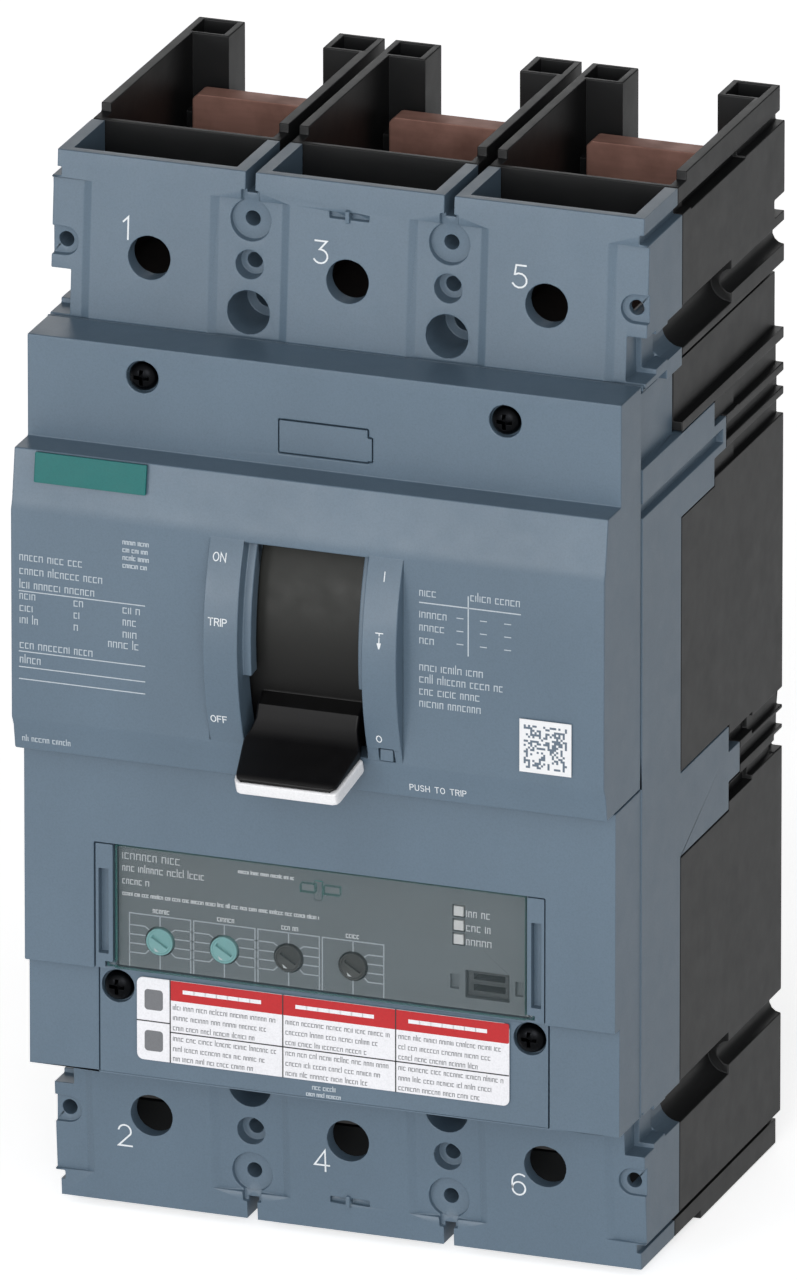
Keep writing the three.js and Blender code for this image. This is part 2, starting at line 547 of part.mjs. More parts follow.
const DIAL_COLORS = [0x8cc3c4, 0x8cc3c4, 0x3d3c38, 0x3d3c38];
DIAL_X.forEach((x, i) => {
  const turned = join(rodY(DIAL_RADIUS, [0, 0], DIAL_FACE, -102.5, 24),
    rodY(1.1, [0, 0], -103, BOARD_FRONT, 8));
  const slotted = cut(turned, box(about(0, 2.5), [AHEAD, DIAL_FACE + 0.9], about(0, 0.45)));
  addPiece(`setting_dial_${i + 1}`, slotted, plastic(DIAL_COLORS[i], 0.4)).position.set(x, 0, DIAL_Z);
});
LAMP_Z.forEach((z, i) => {
  addPiece(`status_lamp_${i + 1}`, box(about(LAMP_X, LAMP_HALF), [PANEL_FACE - 0.2, BOARD_FRONT],
    about(z, LAMP_HALF)), plastic(0xe4e6e6, 0.3));
});
addPiece('test_port', cut(box(PORT.x, [PANEL_FACE + 0.8, BOARD_FRONT], PORT.z),
  box([34.7, 41.9], [-107, -98], [-52.3, -51]), box([34.7, 41.9], [-107, -98], [-54.9, -53.5])),
plastic(0x4b5153, 0.5));
addPiece('circuit_board', join(box(about(0, 45.6), [-91, -89.4], [-57.6, -32.6]),
  box([-20, -8], [-93, -91], [-44, -34]), box([4, 12], [-92.6, -91], [-42, -36]),
  box([-42, -30], [-93.6, -91], [-42, -36]), box([20, 24], [-94, -91], [-50, -38])),
plastic(0x1f5a3a, 0.5));

// clear cover on two pins at its lower corners, held by a rail at each side
const COVER = { x: 47.7, back: -107, front: -108.4, top: -30.5, bottom: -59.3 };
for (const [name, side] of [['left', -1], ['right', 1]]) {
  const x = span(48.2, 52.2, side);
  addPiece(`cover_rail_${name}`, cut(box(x, [-108.6, -102.7], [-59.4, -30.4]),
    box(span(49.2, 51.5, side), [-110, -106.6], [-56, -36.2]),
    rodX(1.1, COVER_HINGE, ...span(47, 50, side), 16)), plastic(BLUE_GREY));
}
addPiece('trip_unit_cover', join(
  cut(box(about(0, COVER.x), [COVER.front, COVER.back], [COVER.bottom, COVER.top]),
    box(about(0, 4.6), [-110, -106], [-35.9, -33.9])),
  box([-1.1, 0.8], [-109, COVER.back], [-37.2, -32.7]),
  SIDES.map((side) => rodX(0.7, COVER_HINGE, ...span(COVER.x - 1, 49.6, side), 12))),
new THREE.MeshStandardMaterial({ color: 0x8fa5a8, roughness: 0.15, transparent: true, opacity: 0.4 }));

// flux-shift magnet under the trip bar
const PLUNGER_Y = -78;
addPiece('trip_magnet', cut(box(about(0, 13), [-86.6, -69], [-56, -30]),
  rodZ(2.6, [0, PLUNGER_Y], -50, -28)), metal(0x70757a, 0.45));
addPiece('magnet_plunger', rodZ(2, [0, PLUNGER_Y], -46, -19.6), metal(STEEL, 0.25));

// trip button, with the trip bar behind it
const BUTTON_BACK = -76.4;
const buttonFace = HANDLE_PIVOT[0] - Math.sqrt(BAND_RADIUS ** 2 - (HANDLE_PIVOT[1] - 1.85) ** 2);
addPiece('trip_button', join(box(BUTTON.x, [buttonFace, BUTTON_BACK], BUTTON.z),
  box([17.1, 20.7], [-100, -96], [-1.5, 4.6])), plastic(BLUE_GREY));
const [barY, barZ] = TRIP_BAR_AXIS;
addPiece('trip_bar', join(rodX(3, TRIP_BAR_AXIS, -63.9, 63.9),
  prismX([[barY - 2.6, barZ], [barY - 2.6, 3.5], [barY - 0.6, 3.5], [barY + 1.5, barZ]], 17, 20.6),
  box(about(0, 3), [PLUNGER_Y - 3, barY], [barZ - 1, barZ + 1])), plastic(0x8a8478, 0.5));

// ---------------------------------------------------------------- handle
const handle = turnedGroup(HANDLE_PIVOT, HANDLE_OFF_ANGLE);
// plan of the grip, as half width against distance from the pivot
const gripPlan = (grow, reach) => {
  const right = [[11.9, -52], [11.9, -58.6], [13.45 + grow, -62.8], [11.75 + grow, -reach + 1.4],
    [11.2 + grow, -reach + 0.4], [10.4 + grow, -reach]];
  return [...right, ...right.map(([x, y]) => [-x, y]).reverse()];
};
const GRIP_REACH = 74.9;

function handleGrip() {
  const blade = prismX([[-51.5, 6], [-56.6, 5.6], [-58.6, 3.4], [-60.6, 1.7], [-62.8, 0.9],
    [-74.2, -0.4], [-GRIP_REACH, -1.1], [-GRIP_REACH, -1.5], [-61.6, -1.5], [-60.9, -1.9],
    [-51.5, -3.6]], -20, 20).intersect(prismZ(gripPlan(0, GRIP_REACH), -10, 10));
  const core = prismZ(gripPlan(-1.9, GRIP_REACH - 1.6), -4.3, -1).intersect(
    box(about(0, 20), [-80, -63.8], [-10, 10]));
  const shield = ringSector([0, 0], SHIELD_RADIUS - 2.5, SHIELD_RADIUS, 180 - 47.5, 180 + 44.5, -16, 16, 24);
  return join(blade, core, shield, box(about(0, 9), [-51, -47.3], about(0, 6)));
}
addPiece('handle_grip', handleGrip(), plastic(DEEP_BLACK, 0.35), handle);

function handleSkirt() {
  const outer = prismZ(gripPlan(0.35, GRIP_REACH + 0.35), -4.9, -1.8);
  const inner = prismZ(gripPlan(-1.6, GRIP_REACH - 1.3), -6, 0);
  return cut(outer.intersect(box(about(0, 20), [-80, -62.3], [-10, 10])), inner);
}
addPiece('handle_skirt', handleSkirt(), plastic(0xe9e9ea, 0.4), handle);

// steel yoke: a web behind the slide and two arms to the pivot
addPiece('handle_yoke', cut(join(
  box(about(0, 15.5), [-47, -45.3], about(0, 7)),
  SIDES.flatMap((side) => [
    prismX([[-47, 7], [-47, -7], [-4, -4.5], ...arc([0, 0], 4.5, -90, 90, 8), [-4, 4.5]],
      ...span(14, 15.5, side)),
    box(span(5.5, 10.5, side), [-46, -41.5], about(0, 0.75))])),
rodX(2.4, [0, 0], -17, 17)), metal(STEEL, 0.4), handle);

// ---------------------------------------------------------------- mechanism
const turn = ([y, z], angle) => [y * Math.cos(angle) - z * Math.sin(angle),
  y * Math.sin(angle) + z * Math.cos(angle)];
const leverPin = turn(LEVER_PIN, CONTACT_OPEN_ANGLE).map((v, i) => v + CROSSBAR_AXIS[i]);

// knee of the toggle: where the two links meet, on the lower side of the line between their pins
function knee(from, to, first, second) {
  const dy = to[0] - from[0];
  const dz = to[1] - from[1];
  const distance = Math.hypot(dy, dz);
  const along = (distance ** 2 + first ** 2 - second ** 2) / (2 * distance);
  const across = Math.sqrt(first ** 2 - along ** 2);
  return [from[0] + (dy * along + dz * across) / distance, from[1] + (dz * along - dy * across) / distance];
}
const kneePin = knee(CRADLE_PIN, leverPin, UPPER_LINK, LOWER_LINK);

for (const [name, side] of [['left', -1], ['right', 1]]) {
  const plate = prismX([[-92, 16], [-92, 46], [-84, 58], [-52, 60], [-40, 46], [-40, 34], [-52, 6],
    [-62, 2], [-84, 6]], ...span(11.6, 13.2, side));
  addPiece(`mechanism_plate_${name}`, join(cut(plate, rodX(6.5, [-76, 14], ...span(11, 14, side))),
    rodX(2, HANDLE_PIVOT, ...span(12, 15.9, side))), metal(STEEL, 0.4));
}
const CRADLE_AXIS = [-62, 53];
addPiece('cradle_pin', rodX(2, CRADLE_AXIS, -11.3, 11.3), metal(STEEL, 0.3));
addPiece('cradle', cut(prismX([[-59, 57], [-66, 58], [-84, 44], [-90, 26], [-87, 22], [-84, 25],
  [-79, 33], [-76, 38], [-59, 49]], -1.2, 1.2), rodX(2.3, CRADLE_AXIS, -3, 3),
rodX(2.1, CRADLE_PIN, -3, 3)), metal(0x9a9ea2, 0.35));
addPiece('toggle_link_upper', join(
  SIDES.map((side) => strap(CRADLE_PIN, kneePin, 3, ...span(1.6, 3.1, side))),
  rodX(1.7, CRADLE_PIN, -3, 3), rodX(1.5, kneePin, -10.8, 10.8)), metal(0xa8acb0, 0.35));
// the knee end of the lower link is a slot, because the pin rides in it as the toggle folds
const kneeSlotEnd = [kneePin[0] + 2.7, kneePin[1] - 0.3];
addPiece('toggle_link_lower', join(
  SIDES.map((side) => cut(strap(leverPin, kneePin, 3.5, ...span(3.5, 5, side)),
    strap(kneePin, kneeSlotEnd, 2.2, ...span(3, 6, side)))),
  rodX(1.4, leverPin, -5, 5)), metal(0xa8acb0, 0.35));

// tension springs between the yoke and the knee
const springAnchor = turn([-41.5, 0], HANDLE_OFF_ANGLE).map((v, i) => v + HANDLE_PIVOT[i]);
function springWire(x, from, to, coilRadius, wireRadius, coils) {
  const heading = new THREE.Vector3(0, to[0] - from[0], to[1] - from[1]);
  const length = heading.length() - 4.2;
  heading.normalize();
  const side = new THREE.Vector3(1, 0, 0);
  const up = new THREE.Vector3().crossVectors(heading, side);
  const start = new THREE.Vector3(x, from[0], from[1]).addScaledVector(heading, 1.2);
  const stations = coils * 7;
  const points = Array.from({ length: stations + 1 }, (_, i) => {
    const angle = 2 * Math.PI * coils * i / stations;
    return start.clone().addScaledVector(heading, length * i / stations)
      .addScaledVector(side, coilRadius * Math.cos(angle))
      .addScaledVector(up, coilRadius * Math.sin(angle));
  });
  const section = outline(arc([0, 0], wireRadius, 0, 360, 4).slice(0, 4));
  return toSolid(new THREE.ExtrudeGeometry(section, {
    steps: stations, bevelEnabled: false, extrudePath: new THREE.CatmullRomCurve3(points) }));
}
addPiece('main_spring_left', springWire(-8, springAnchor, kneePin, 2, 0.5, 6), metal(STEEL, 0.3));
addPiece('main_spring_right', springWire(8, springAnchor, kneePin, 2, 0.5, 6), metal(STEEL, 0.3));

// ---------------------------------------------------------------- crossbar and contacts
const moving = turnedGroup(CROSSBAR_AXIS, CONTACT_OPEN_ANGLE);
const ARM_HALF = 5;
const HEEL_RADIUS = 7.7;
function crossbar() {
  let bar = rodX(5.9, [0, 0], -62.5, 62.5, 16);
  for (const c of POLES) {
    bar = join(bar, rodX(10, [0, 0], ...about(c, 16), 16));
    bar = cut(bar, rodX(HEEL_RADIUS + 0.4, [0, 0], ...about(c, ARM_HALF + 0.4)),
      box(about(c, ARM_HALF + 0.4), [-2.5, 20], [-12, 20]));
  }
  const lug = strap([-7.5, 0], LEVER_PIN, 3.1, -3, 3);
  return cut(join(bar, cut(lug, rodX(HEEL_RADIUS + 0.4, [0, 0], -6, 6))),
    rodX(1.8, LEVER_PIN, -5, 5));
}
addPiece('crossbar', crossbar(), plastic(0x2b2b2a, 0.6), moving);
POLES.forEach((c, i) => {
  const arm = join(rodX(HEEL_RADIUS, [0, 0], ...about(c, ARM_HALF), 16),
    prismX([[-2, 0], [-2, 40], [0, 45], [5, 45], [5, 0]], ...about(c, ARM_HALF)),
    box(about(c, ARM_HALF - 0.6), [4.5, 7.5], [37.5, 44]));
  addPiece(`contact_arm_${i + 1}`, arm, metal(COPPER, 0.35), moving);
});

// copper terminals: bar with bolt hole; a fixed contact above, a sliding pad below
const FIXED_CONTACT = { z: [51, 59], front: -26.1 };
POLES.forEach((c, i) => {
  for (const end of ENDS) {
    const inner = end > 0 ? 50 : -8;
    const corner = 1.2;
    const tip = BAR.end * end;
    const neckEnd = BAR.neckEnd * end;
    const half = [[BAR.half - corner, tip], [BAR.half, tip - corner * end], [BAR.half, neckEnd],
      [BAR.neck, neckEnd], [BAR.neck, inner]];
    const plan = [...half, ...half.map(([x, z]) => [-x, z]).reverse()].map(([x, z]) => [x + c, z]);
    let bar = cut(prismY(plan, BAR.front, BAR.back),
      rodY(BOLT_HOLE_RADIUS, [c, TERMINAL_Z * end], -30, -10, 24));
    bar = end > 0
      ? join(bar, box(about(c, 8), [FIXED_CONTACT.front, BAR.front + 1], FIXED_CONTACT.z))
      : join(bar, box(about(c, 8), [BAR.front, BAR.back], [-9, 22]),
        box(about(c, ARM_HALF), [-25.7, BAR.front + 1], [8, 20]));
    addPiece(end > 0 ? `line_terminal_${i + 1}` : `load_terminal_${i + 1}`, bar, metal(COPPER, 0.3));
  }
});

// arc chutes: splitter plates between two fibre cheeks
POLES.forEach((c, i) => {
  let chute = join(SIDES.map((side) => box(span(16.4, 18, side).map((x) => x + c), [-64, -25], [50, 82])));
  for (let y = -62.5; y < -26; y += 5.9) {
    chute = join(chute, prismY([[-17, 81], [-17, 61], [-6.4, 61], [-6.4, 66], [0, 70], [6.4, 66],
      [6.4, 61], [17, 61], [17, 81]].map(([x, z]) => [x + c, z]), y, y + 1.3));
  }
  addPiece(`arc_chute_${i + 1}`, chute, metal(0x8b8f92, 0.5));
});

// current transformers around the load bars
POLES.forEach((c, i) => {
  addPiece(`current_transformer_${i + 1}`, cut(box(about(c, 17.6), [-34, -6], [-76, -52]),
    box(about(c, 12.5), [-23, -12.2], [-80, -48])), plastic(0x6b4a2c, 0.5));
});

export default breaker;
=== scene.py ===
"""Looks of a three-pole molded case breaker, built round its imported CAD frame.

Metres, Z up, the front face toward -Y, as in the frame.
"""
import math
import random

import bmesh
import bpy
from mathutils import Matrix, Vector
from mathutils.bvhtree import BVHTree


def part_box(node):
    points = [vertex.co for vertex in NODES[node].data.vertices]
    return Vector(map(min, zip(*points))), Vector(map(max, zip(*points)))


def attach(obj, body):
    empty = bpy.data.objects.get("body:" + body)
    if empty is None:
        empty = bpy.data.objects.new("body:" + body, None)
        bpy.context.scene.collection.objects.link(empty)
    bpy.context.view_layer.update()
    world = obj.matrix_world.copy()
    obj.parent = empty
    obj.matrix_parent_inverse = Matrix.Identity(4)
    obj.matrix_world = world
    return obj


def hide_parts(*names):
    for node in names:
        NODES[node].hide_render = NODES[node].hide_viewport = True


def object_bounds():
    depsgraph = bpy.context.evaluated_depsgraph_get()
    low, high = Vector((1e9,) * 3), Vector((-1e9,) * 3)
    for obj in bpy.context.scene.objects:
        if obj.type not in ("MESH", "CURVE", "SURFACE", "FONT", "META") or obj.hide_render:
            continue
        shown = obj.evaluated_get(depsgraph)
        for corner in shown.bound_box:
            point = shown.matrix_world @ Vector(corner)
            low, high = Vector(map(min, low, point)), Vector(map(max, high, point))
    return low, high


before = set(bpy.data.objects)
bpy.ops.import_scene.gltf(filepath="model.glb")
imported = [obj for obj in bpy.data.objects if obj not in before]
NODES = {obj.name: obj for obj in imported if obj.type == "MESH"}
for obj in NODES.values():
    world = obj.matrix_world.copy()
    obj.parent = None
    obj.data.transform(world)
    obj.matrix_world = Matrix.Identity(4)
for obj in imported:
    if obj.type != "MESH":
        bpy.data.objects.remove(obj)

CAD_BOX = [list(corner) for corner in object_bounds()]
MM = 0.001
FORWARD = Vector((0, 1, 0))  # from the front face to the back
MIX_COLOUR_A, MIX_COLOUR_B, MIX_COLOUR_RESULT = 6, 7, 2  # colour sockets of a Mix node


# ---------------------------------------------------------------- materials
class Finish:
    """A node material: a Principled shader and a few steps that feed it."""

    def __init__(self, name, values=None):
        self.material = bpy.data.materials.new(name)
        self.material.use_nodes = True
        self.tree = self.material.node_tree
        self.shader = self.tree.nodes["Principled BSDF"]
        self.place = self.node("ShaderNodeTexCoord").outputs["Object"]
        for key, value in (values or {}).items():
            self.shader.inputs[key].default_value = value

    def node(self, kind, **settings):
        made = self.tree.nodes.new(kind)
        for key, value in settings.items():
            setattr(made, key, value)
        return made

    def feed(self, target, source):
        self.tree.links.new(source, target)

    def noise(self, size, detail=2.0, stretch=None, seed=0.0):
        """Noise with features of about `size` millimetres, drawn out along an axis by `stretch`."""
        texture = self.node("ShaderNodeTexNoise", noise_dimensions="4D")
        texture.inputs["Scale"].default_value = 1 / (size * MM)
        texture.inputs["Detail"].default_value = detail
        texture.inputs["W"].default_value = seed
        mapping = self.node("ShaderNodeMapping")
        mapping.inputs["Scale"].default_value = stretch or (1, 1, 1)
        self.feed(mapping.inputs["Vector"], self.place)
        self.feed(texture.inputs["Vector"], mapping.outputs["Vector"])
        return texture.outputs["Fac"]

    def ramp(self, source, low, high, start=0.3, end=0.7):
        """A value or colour from low to high as the source goes from start to end."""
        if isinstance(low, (int, float)):
            step = self.node("ShaderNodeMapRange")
            limits = {"From Min": start, "From Max": end, "To Min": low, "To Max": high}
            for key, value in limits.items():
                step.inputs[key].default_value = value
            self.feed(step.inputs["Value"], source)
            return step.outputs["Result"]
        step = self.node("ShaderNodeValToRGB")
        for element, at, colour in zip(step.color_ramp.elements, (start, end), (low, high)):
            element.position = at
            element.color = colour
        self.feed(step.inputs["Fac"], source)
        return step.outputs["Color"]

    def mix(self, amount, first, second, blend="MIX"):
        """A mix of two colours; each input is a value or another node's output."""
        step = self.node("ShaderNodeMix", data_type="RGBA", blend_type=blend)
        for socket, value in ((0, amount), (MIX_COLOUR_A, first), (MIX_COLOUR_B, second)):
            if isinstance(value, bpy.types.NodeSocket):
                self.feed(step.inputs[socket], value)
            else:
                step.inputs[socket].default_value = value
        return step.outputs[MIX_COLOUR_RESULT]

    def bump(self, source, depth, strength=1.0):
        step = self.node("ShaderNodeBump")
        step.inputs["Distance"].default_value = depth * MM
        step.inputs["Strength"].default_value = strength
        self.feed(step.inputs["Height"], source)
        self.feed(self.shader.inputs["Normal"], step.outputs["Normal"])


def colour(code, scale=1.0):
    """Linear colour, with alpha, from an sRGB hex code."""
    parts = [int(code[i:i + 2], 16) / 255 for i in (0, 2, 4)]
    linear = [c / 12.92 if c <= 0.04045 else ((c + 0.055) / 1.055) ** 2.4 for c in parts]
    return tuple(scale * c for c in linear) + (1.0,)


def moulded(name, code, roughness=0.5, grain=0.35, mottle=0.05, texture=0.012, gloss_level=0.5):
    """Moulded plastic: faint flow marks in the colour, uneven gloss and a fine eroded grain."""
    f = Finish(name, {"Specular IOR Level": gloss_level})
    flow = f.noise(26, detail=3, stretch=(1, 1, 0.55))
    fine = f.noise(grain, detail=2, seed=3)
    tint = f.ramp(flow, colour(code, 1 - mottle), colour(code, 1 + mottle))
    speck = f.ramp(fine, colour("d8d8d8"), colour("ffffff"), 0.25, 0.6)
    f.feed(f.shader.inputs["Base Color"], f.mix(0.35, tint, speck, "MULTIPLY"))
    gloss = f.noise(4.5, detail=4, seed=7)
    f.feed(f.shader.inputs["Roughness"], f.ramp(gloss, roughness - 0.03, roughness + 0.03))
    f.bump(fine, texture)
    return f.material


def metal(name, code, roughness=0.3, brush=(1, 1, 12), stain=0.1, tarnish=None, metallic=1.0):
    """Rolled metal: fine brush lines along one axis, and a stain that darkens it in patches."""
    f = Finish(name, {"Metallic": metallic})
    lines = f.noise(1.6, detail=3, stretch=tuple(1 / b for b in brush))
    patches = f.noise(9, detail=4, seed=5)
    clean = f.ramp(lines, colour(code, 0.88), colour(code, 1.06))
    dull = colour(tarnish or code, 1 - 3 * stain)
    dulled = f.ramp(patches, 0.0, 0.75, 0.45, 0.75)
    f.feed(f.shader.inputs["Base Color"], f.mix(dulled, clean, dull))
    f.feed(f.shader.inputs["Roughness"], f.ramp(patches, roughness, roughness + 0.18))
    f.bump(lines, 0.01, 0.6)
    return f.material


def smoked_clear(name):
    """Smoked clear plastic: nearly invisible on its broad faces, tinted teal on its edges."""
    f = Finish(name, {"Specular IOR Level": 0.6})
    normal = f.node("ShaderNodeVectorTransform", vector_type="NORMAL", convert_from="WORLD",
                    convert_to="OBJECT")
    f.feed(normal.inputs[0], f.node("ShaderNodeNewGeometry").outputs["True Normal"])
    split = f.node("ShaderNodeSeparateXYZ")
    f.feed(split.inputs[0], normal.outputs[0])
    facing = f.node("ShaderNodeMath", operation="ABSOLUTE")
    f.feed(facing.inputs[0], split.outputs["Y"])
    haze = f.noise(14, detail=3, seed=2)
    body = f.ramp(haze, colour("4c585b"), colour("56646a"))
    rim = f.ramp(facing.outputs[0], 1.0, 0.0, 0.2, 0.8)
    f.feed(f.shader.inputs["Base Color"], f.mix(rim, body, colour("2f9088")))
    f.feed(f.shader.inputs["Alpha"], f.ramp(rim, 0.16, 0.7, 0.0, 1.0))
    f.feed(f.shader.inputs["Roughness"], f.ramp(f.noise(3, seed=8), 0.08, 0.16))
    return f.material


def slide_black_painted_light(name):
    """The arched slide: satin black, with painted light that makes it paler towards the top, where
    the arc turns up towards the lamps.
    """
    f = Finish(name, {"Specular IOR Level": 0.3})
    split = f.node("ShaderNodeSeparateXYZ")
    f.feed(split.inputs[0], f.place)
    # painted light: the black grows paler with height, standing in for the light that falls on the
    # upper part of the arc
    painted_light_rise = f.ramp(split.outputs["Z"], 0.0, 1.0, 8 * MM, 46 * MM)
    fine = f.noise(0.4, seed=3)
    tone = f.ramp(painted_light_rise, colour("070607"), colour("262724"), 0.0, 0.8)
    speck = f.ramp(fine, colour("d0d0d0"), colour("ffffff"))
    f.feed(f.shader.inputs["Base Color"], f.mix(0.3, tone, speck, "MULTIPLY"))
    f.feed(f.shader.inputs["Roughness"], f.ramp(f.noise(5, detail=4), 0.38, 0.5))
    f.bump(fine, 0.01)
    return f.material


def code_pattern(name, box, cells=24, dark_share=0.46, rim=2):
    """A square of random light and dark cells with a pale rim. It holds no code."""
    low, high = box
    f = Finish(name)
    mapping = f.node("ShaderNodeMapping")
    step = (high.x - low.x) / cells
    mapping.inputs["Location"].default_value = (-low.x / step, 0, -low.z / step)
    mapping.inputs["Scale"].default_value = (1 / step, 0, 1 / step)
    f.feed(mapping.inputs["Vector"], f.place)
    snap = f.node("ShaderNodeVectorMath", operation="FLOOR")
    f.feed(snap.inputs[0], mapping.outputs["Vector"])
    cell = f.node("ShaderNodeTexWhiteNoise", noise_dimensions="3D")
    f.feed(cell.inputs["Vector"], snap.outputs["Vector"])
    dark = f.node("ShaderNodeMath", operation="LESS_THAN")
    dark.inputs[1].default_value = dark_share
    f.feed(dark.inputs[0], cell.outputs["Value"])
    # the rim is told by how far a cell is from the middle, on the longer axis
    centre = f.node("ShaderNodeVectorMath", operation="SUBTRACT")
    centre.inputs[1].default_value = ((cells - 1) / 2, 0, (cells - 1) / 2)
    f.feed(centre.inputs[0], snap.outputs["Vector"])
    size = f.node("ShaderNodeVectorMath", operation="ABSOLUTE")
    f.feed(size.inputs[0], centre.outputs["Vector"])
    split = f.node("ShaderNodeSeparateXYZ")
    f.feed(split.inputs[0], size.outputs["Vector"])
    reach = f.node("ShaderNodeMath", operation="MAXIMUM")
    f.feed(reach.inputs[0], split.outputs["X"])
    f.feed(reach.inputs[1], split.outputs["Z"])
    inside = f.node("ShaderNodeMath", operation="LESS_THAN")
    inside.inputs[1].default_value = cells / 2 - rim
    f.feed(inside.inputs[0], reach.outputs[0])
    ink = f.node("ShaderNodeMath", operation="MULTIPLY")
    f.feed(ink.inputs[0], dark.outputs[0])
    f.feed(ink.inputs[1], inside.outputs[0])
    f.feed(f.shader.inputs["Base Color"], f.mix(ink.outputs[0], colour("e4e5e7"), colour("5c6b7a")))
    f.feed(f.shader.inputs["Roughness"], f.ramp(f.noise(2), 0.42, 0.52))
    return f.material


BLUE_GREY = moulded("moulded_blue_grey", "596c7c", 0.4, gloss_level=0.6)
BLACK = moulded("moulded_black", "131415", 0.48, gloss_level=0.48)
SLIDE = slide_black_painted_light("slide_black_painted_light")
WHITE = moulded("moulded_white", "eeeef0", 0.38, mottle=0.02, texture=0.005)
TEAL = moulded("badge_teal", "0a6664", 0.4, mottle=0.04, texture=0.004, gloss_level=0.3)
PANEL = moulded("panel_grey", "70797d", 0.42, mottle=0.03, texture=0.006)
DIAL_TEAL = moulded("dial_teal", "8cc6c6", 0.4, texture=0.006)
DIAL_DARK = moulded("dial_dark", "34332f", 0.4, texture=0.006)
LAMP = moulded("lamp_white", "eceeee", 0.25, mottle=0.02, texture=0.002)
PORT = moulded("port_grey", "3e4345", 0.5)
BOARD = moulded("board_green", "1f5a3a", 0.4, mottle=0.12)
FIBRE = moulded("fibre_tan", "8a8478", 0.6, mottle=0.1)
PHENOLIC = moulded("phenolic_black", "262625", 0.55, mottle=0.1)
COIL = moulded("coil_brown", "6b4a2c", 0.5, mottle=0.12)
INK = moulded("print_white", "e3e7ea", 0.55, mottle=0.02, texture=0.002)
SOFT_INK = moulded("print_pale", "b9c2c9", 0.55, mottle=0.02, texture=0.002)
PAPER = moulded("label_white", "e9e9ed", 0.42, mottle=0.015, texture=0.003)
RED = moulded("label_red", "bb161d", 0.42, mottle=0.03, texture=0.003)
GREY_INK = moulded("print_grey", "707276", 0.55, mottle=0.02, texture=0.002)
LINE_INK = moulded("print_black", "2a2a2c", 0.55, mottle=0.02, texture=0.002)
STEEL = metal("rolled_steel", "b4b8bb", 0.32)
DARK_STEEL = metal("blackened_steel", "17181a", 0.24, brush=(3, 1, 3), stain=0.05)
COPPER = metal("rolled_copper", "b98b7d", 0.45, brush=(10, 1, 1), stain=0.08, tarnish="93695c",
               metallic=0.4)
CLEAR = smoked_clear("smoked_clear")


# ---------------------------------------------------------------- CAD nodes: edges and finish
FOLDED_BELOW = -0.1  # a face that agrees less than this with the faces round it is folded over
FOLD_PASSES = 3  # a face that has been turned helps to tell about the one beside it
AXIS_SHARE = 0.98  # an edge with more than this share of its length along an axis runs along it
RECESS_BAND = 0.3 * MM  # edges this near the end of a shallow recess belong to that end


def smooth_group():
    """A modifier for after the bevel. Where a bevel has slid past a thin triangle, that triangle
    lies folded over on its neighbours: it is turned to face the way they do. Then every face is
    shaded smooth, so that weighted normals can take over."""
    tree = bpy.data.node_groups.new("shade_smooth", "GeometryNodeTree")
    for side in ("INPUT", "OUTPUT"):
        tree.interface.new_socket("Geometry", in_out=side, socket_type="NodeSocketGeometry")
    facing = tree.nodes.new("GeometryNodeInputNormal").outputs["True Normal"]
    around = tree.nodes.new("GeometryNodeFieldOnDomain")
    around.domain, around.data_type = "POINT", "FLOAT_VECTOR"
    tree.links.new(facing, around.inputs[0])
    agree = tree.nodes.new("ShaderNodeVectorMath")
    agree.operation = "DOT_PRODUCT"
    tree.links.new(facing, agree.inputs[0])
    tree.links.new(around.outputs[0], agree.inputs[1])
    folded = tree.nodes.new("ShaderNodeMath")
    folded.operation = "LESS_THAN"
    folded.inputs[1].default_value = FOLDED_BELOW
    tree.links.new(agree.outputs["Value"], folded.inputs[0])
    here = tree.nodes.new("NodeGroupInput").outputs[0]
    for _ in range(FOLD_PASSES):
        flip = tree.nodes.new("GeometryNodeFlipFaces")
        tree.links.new(here, flip.inputs[0])
        tree.links.new(folded.outputs[0], flip.inputs["Selection"])
        here = flip.outputs[0]
    shade = tree.nodes.new("GeometryNodeSetShadeSmooth")
    end = tree.nodes.new("NodeGroupOutput")
    tree.links.new(here, shade.inputs["Geometry"])
    tree.links.new(shade.outputs["Geometry"], end.inputs[0])
    return tree


SMOOTH = smooth_group()


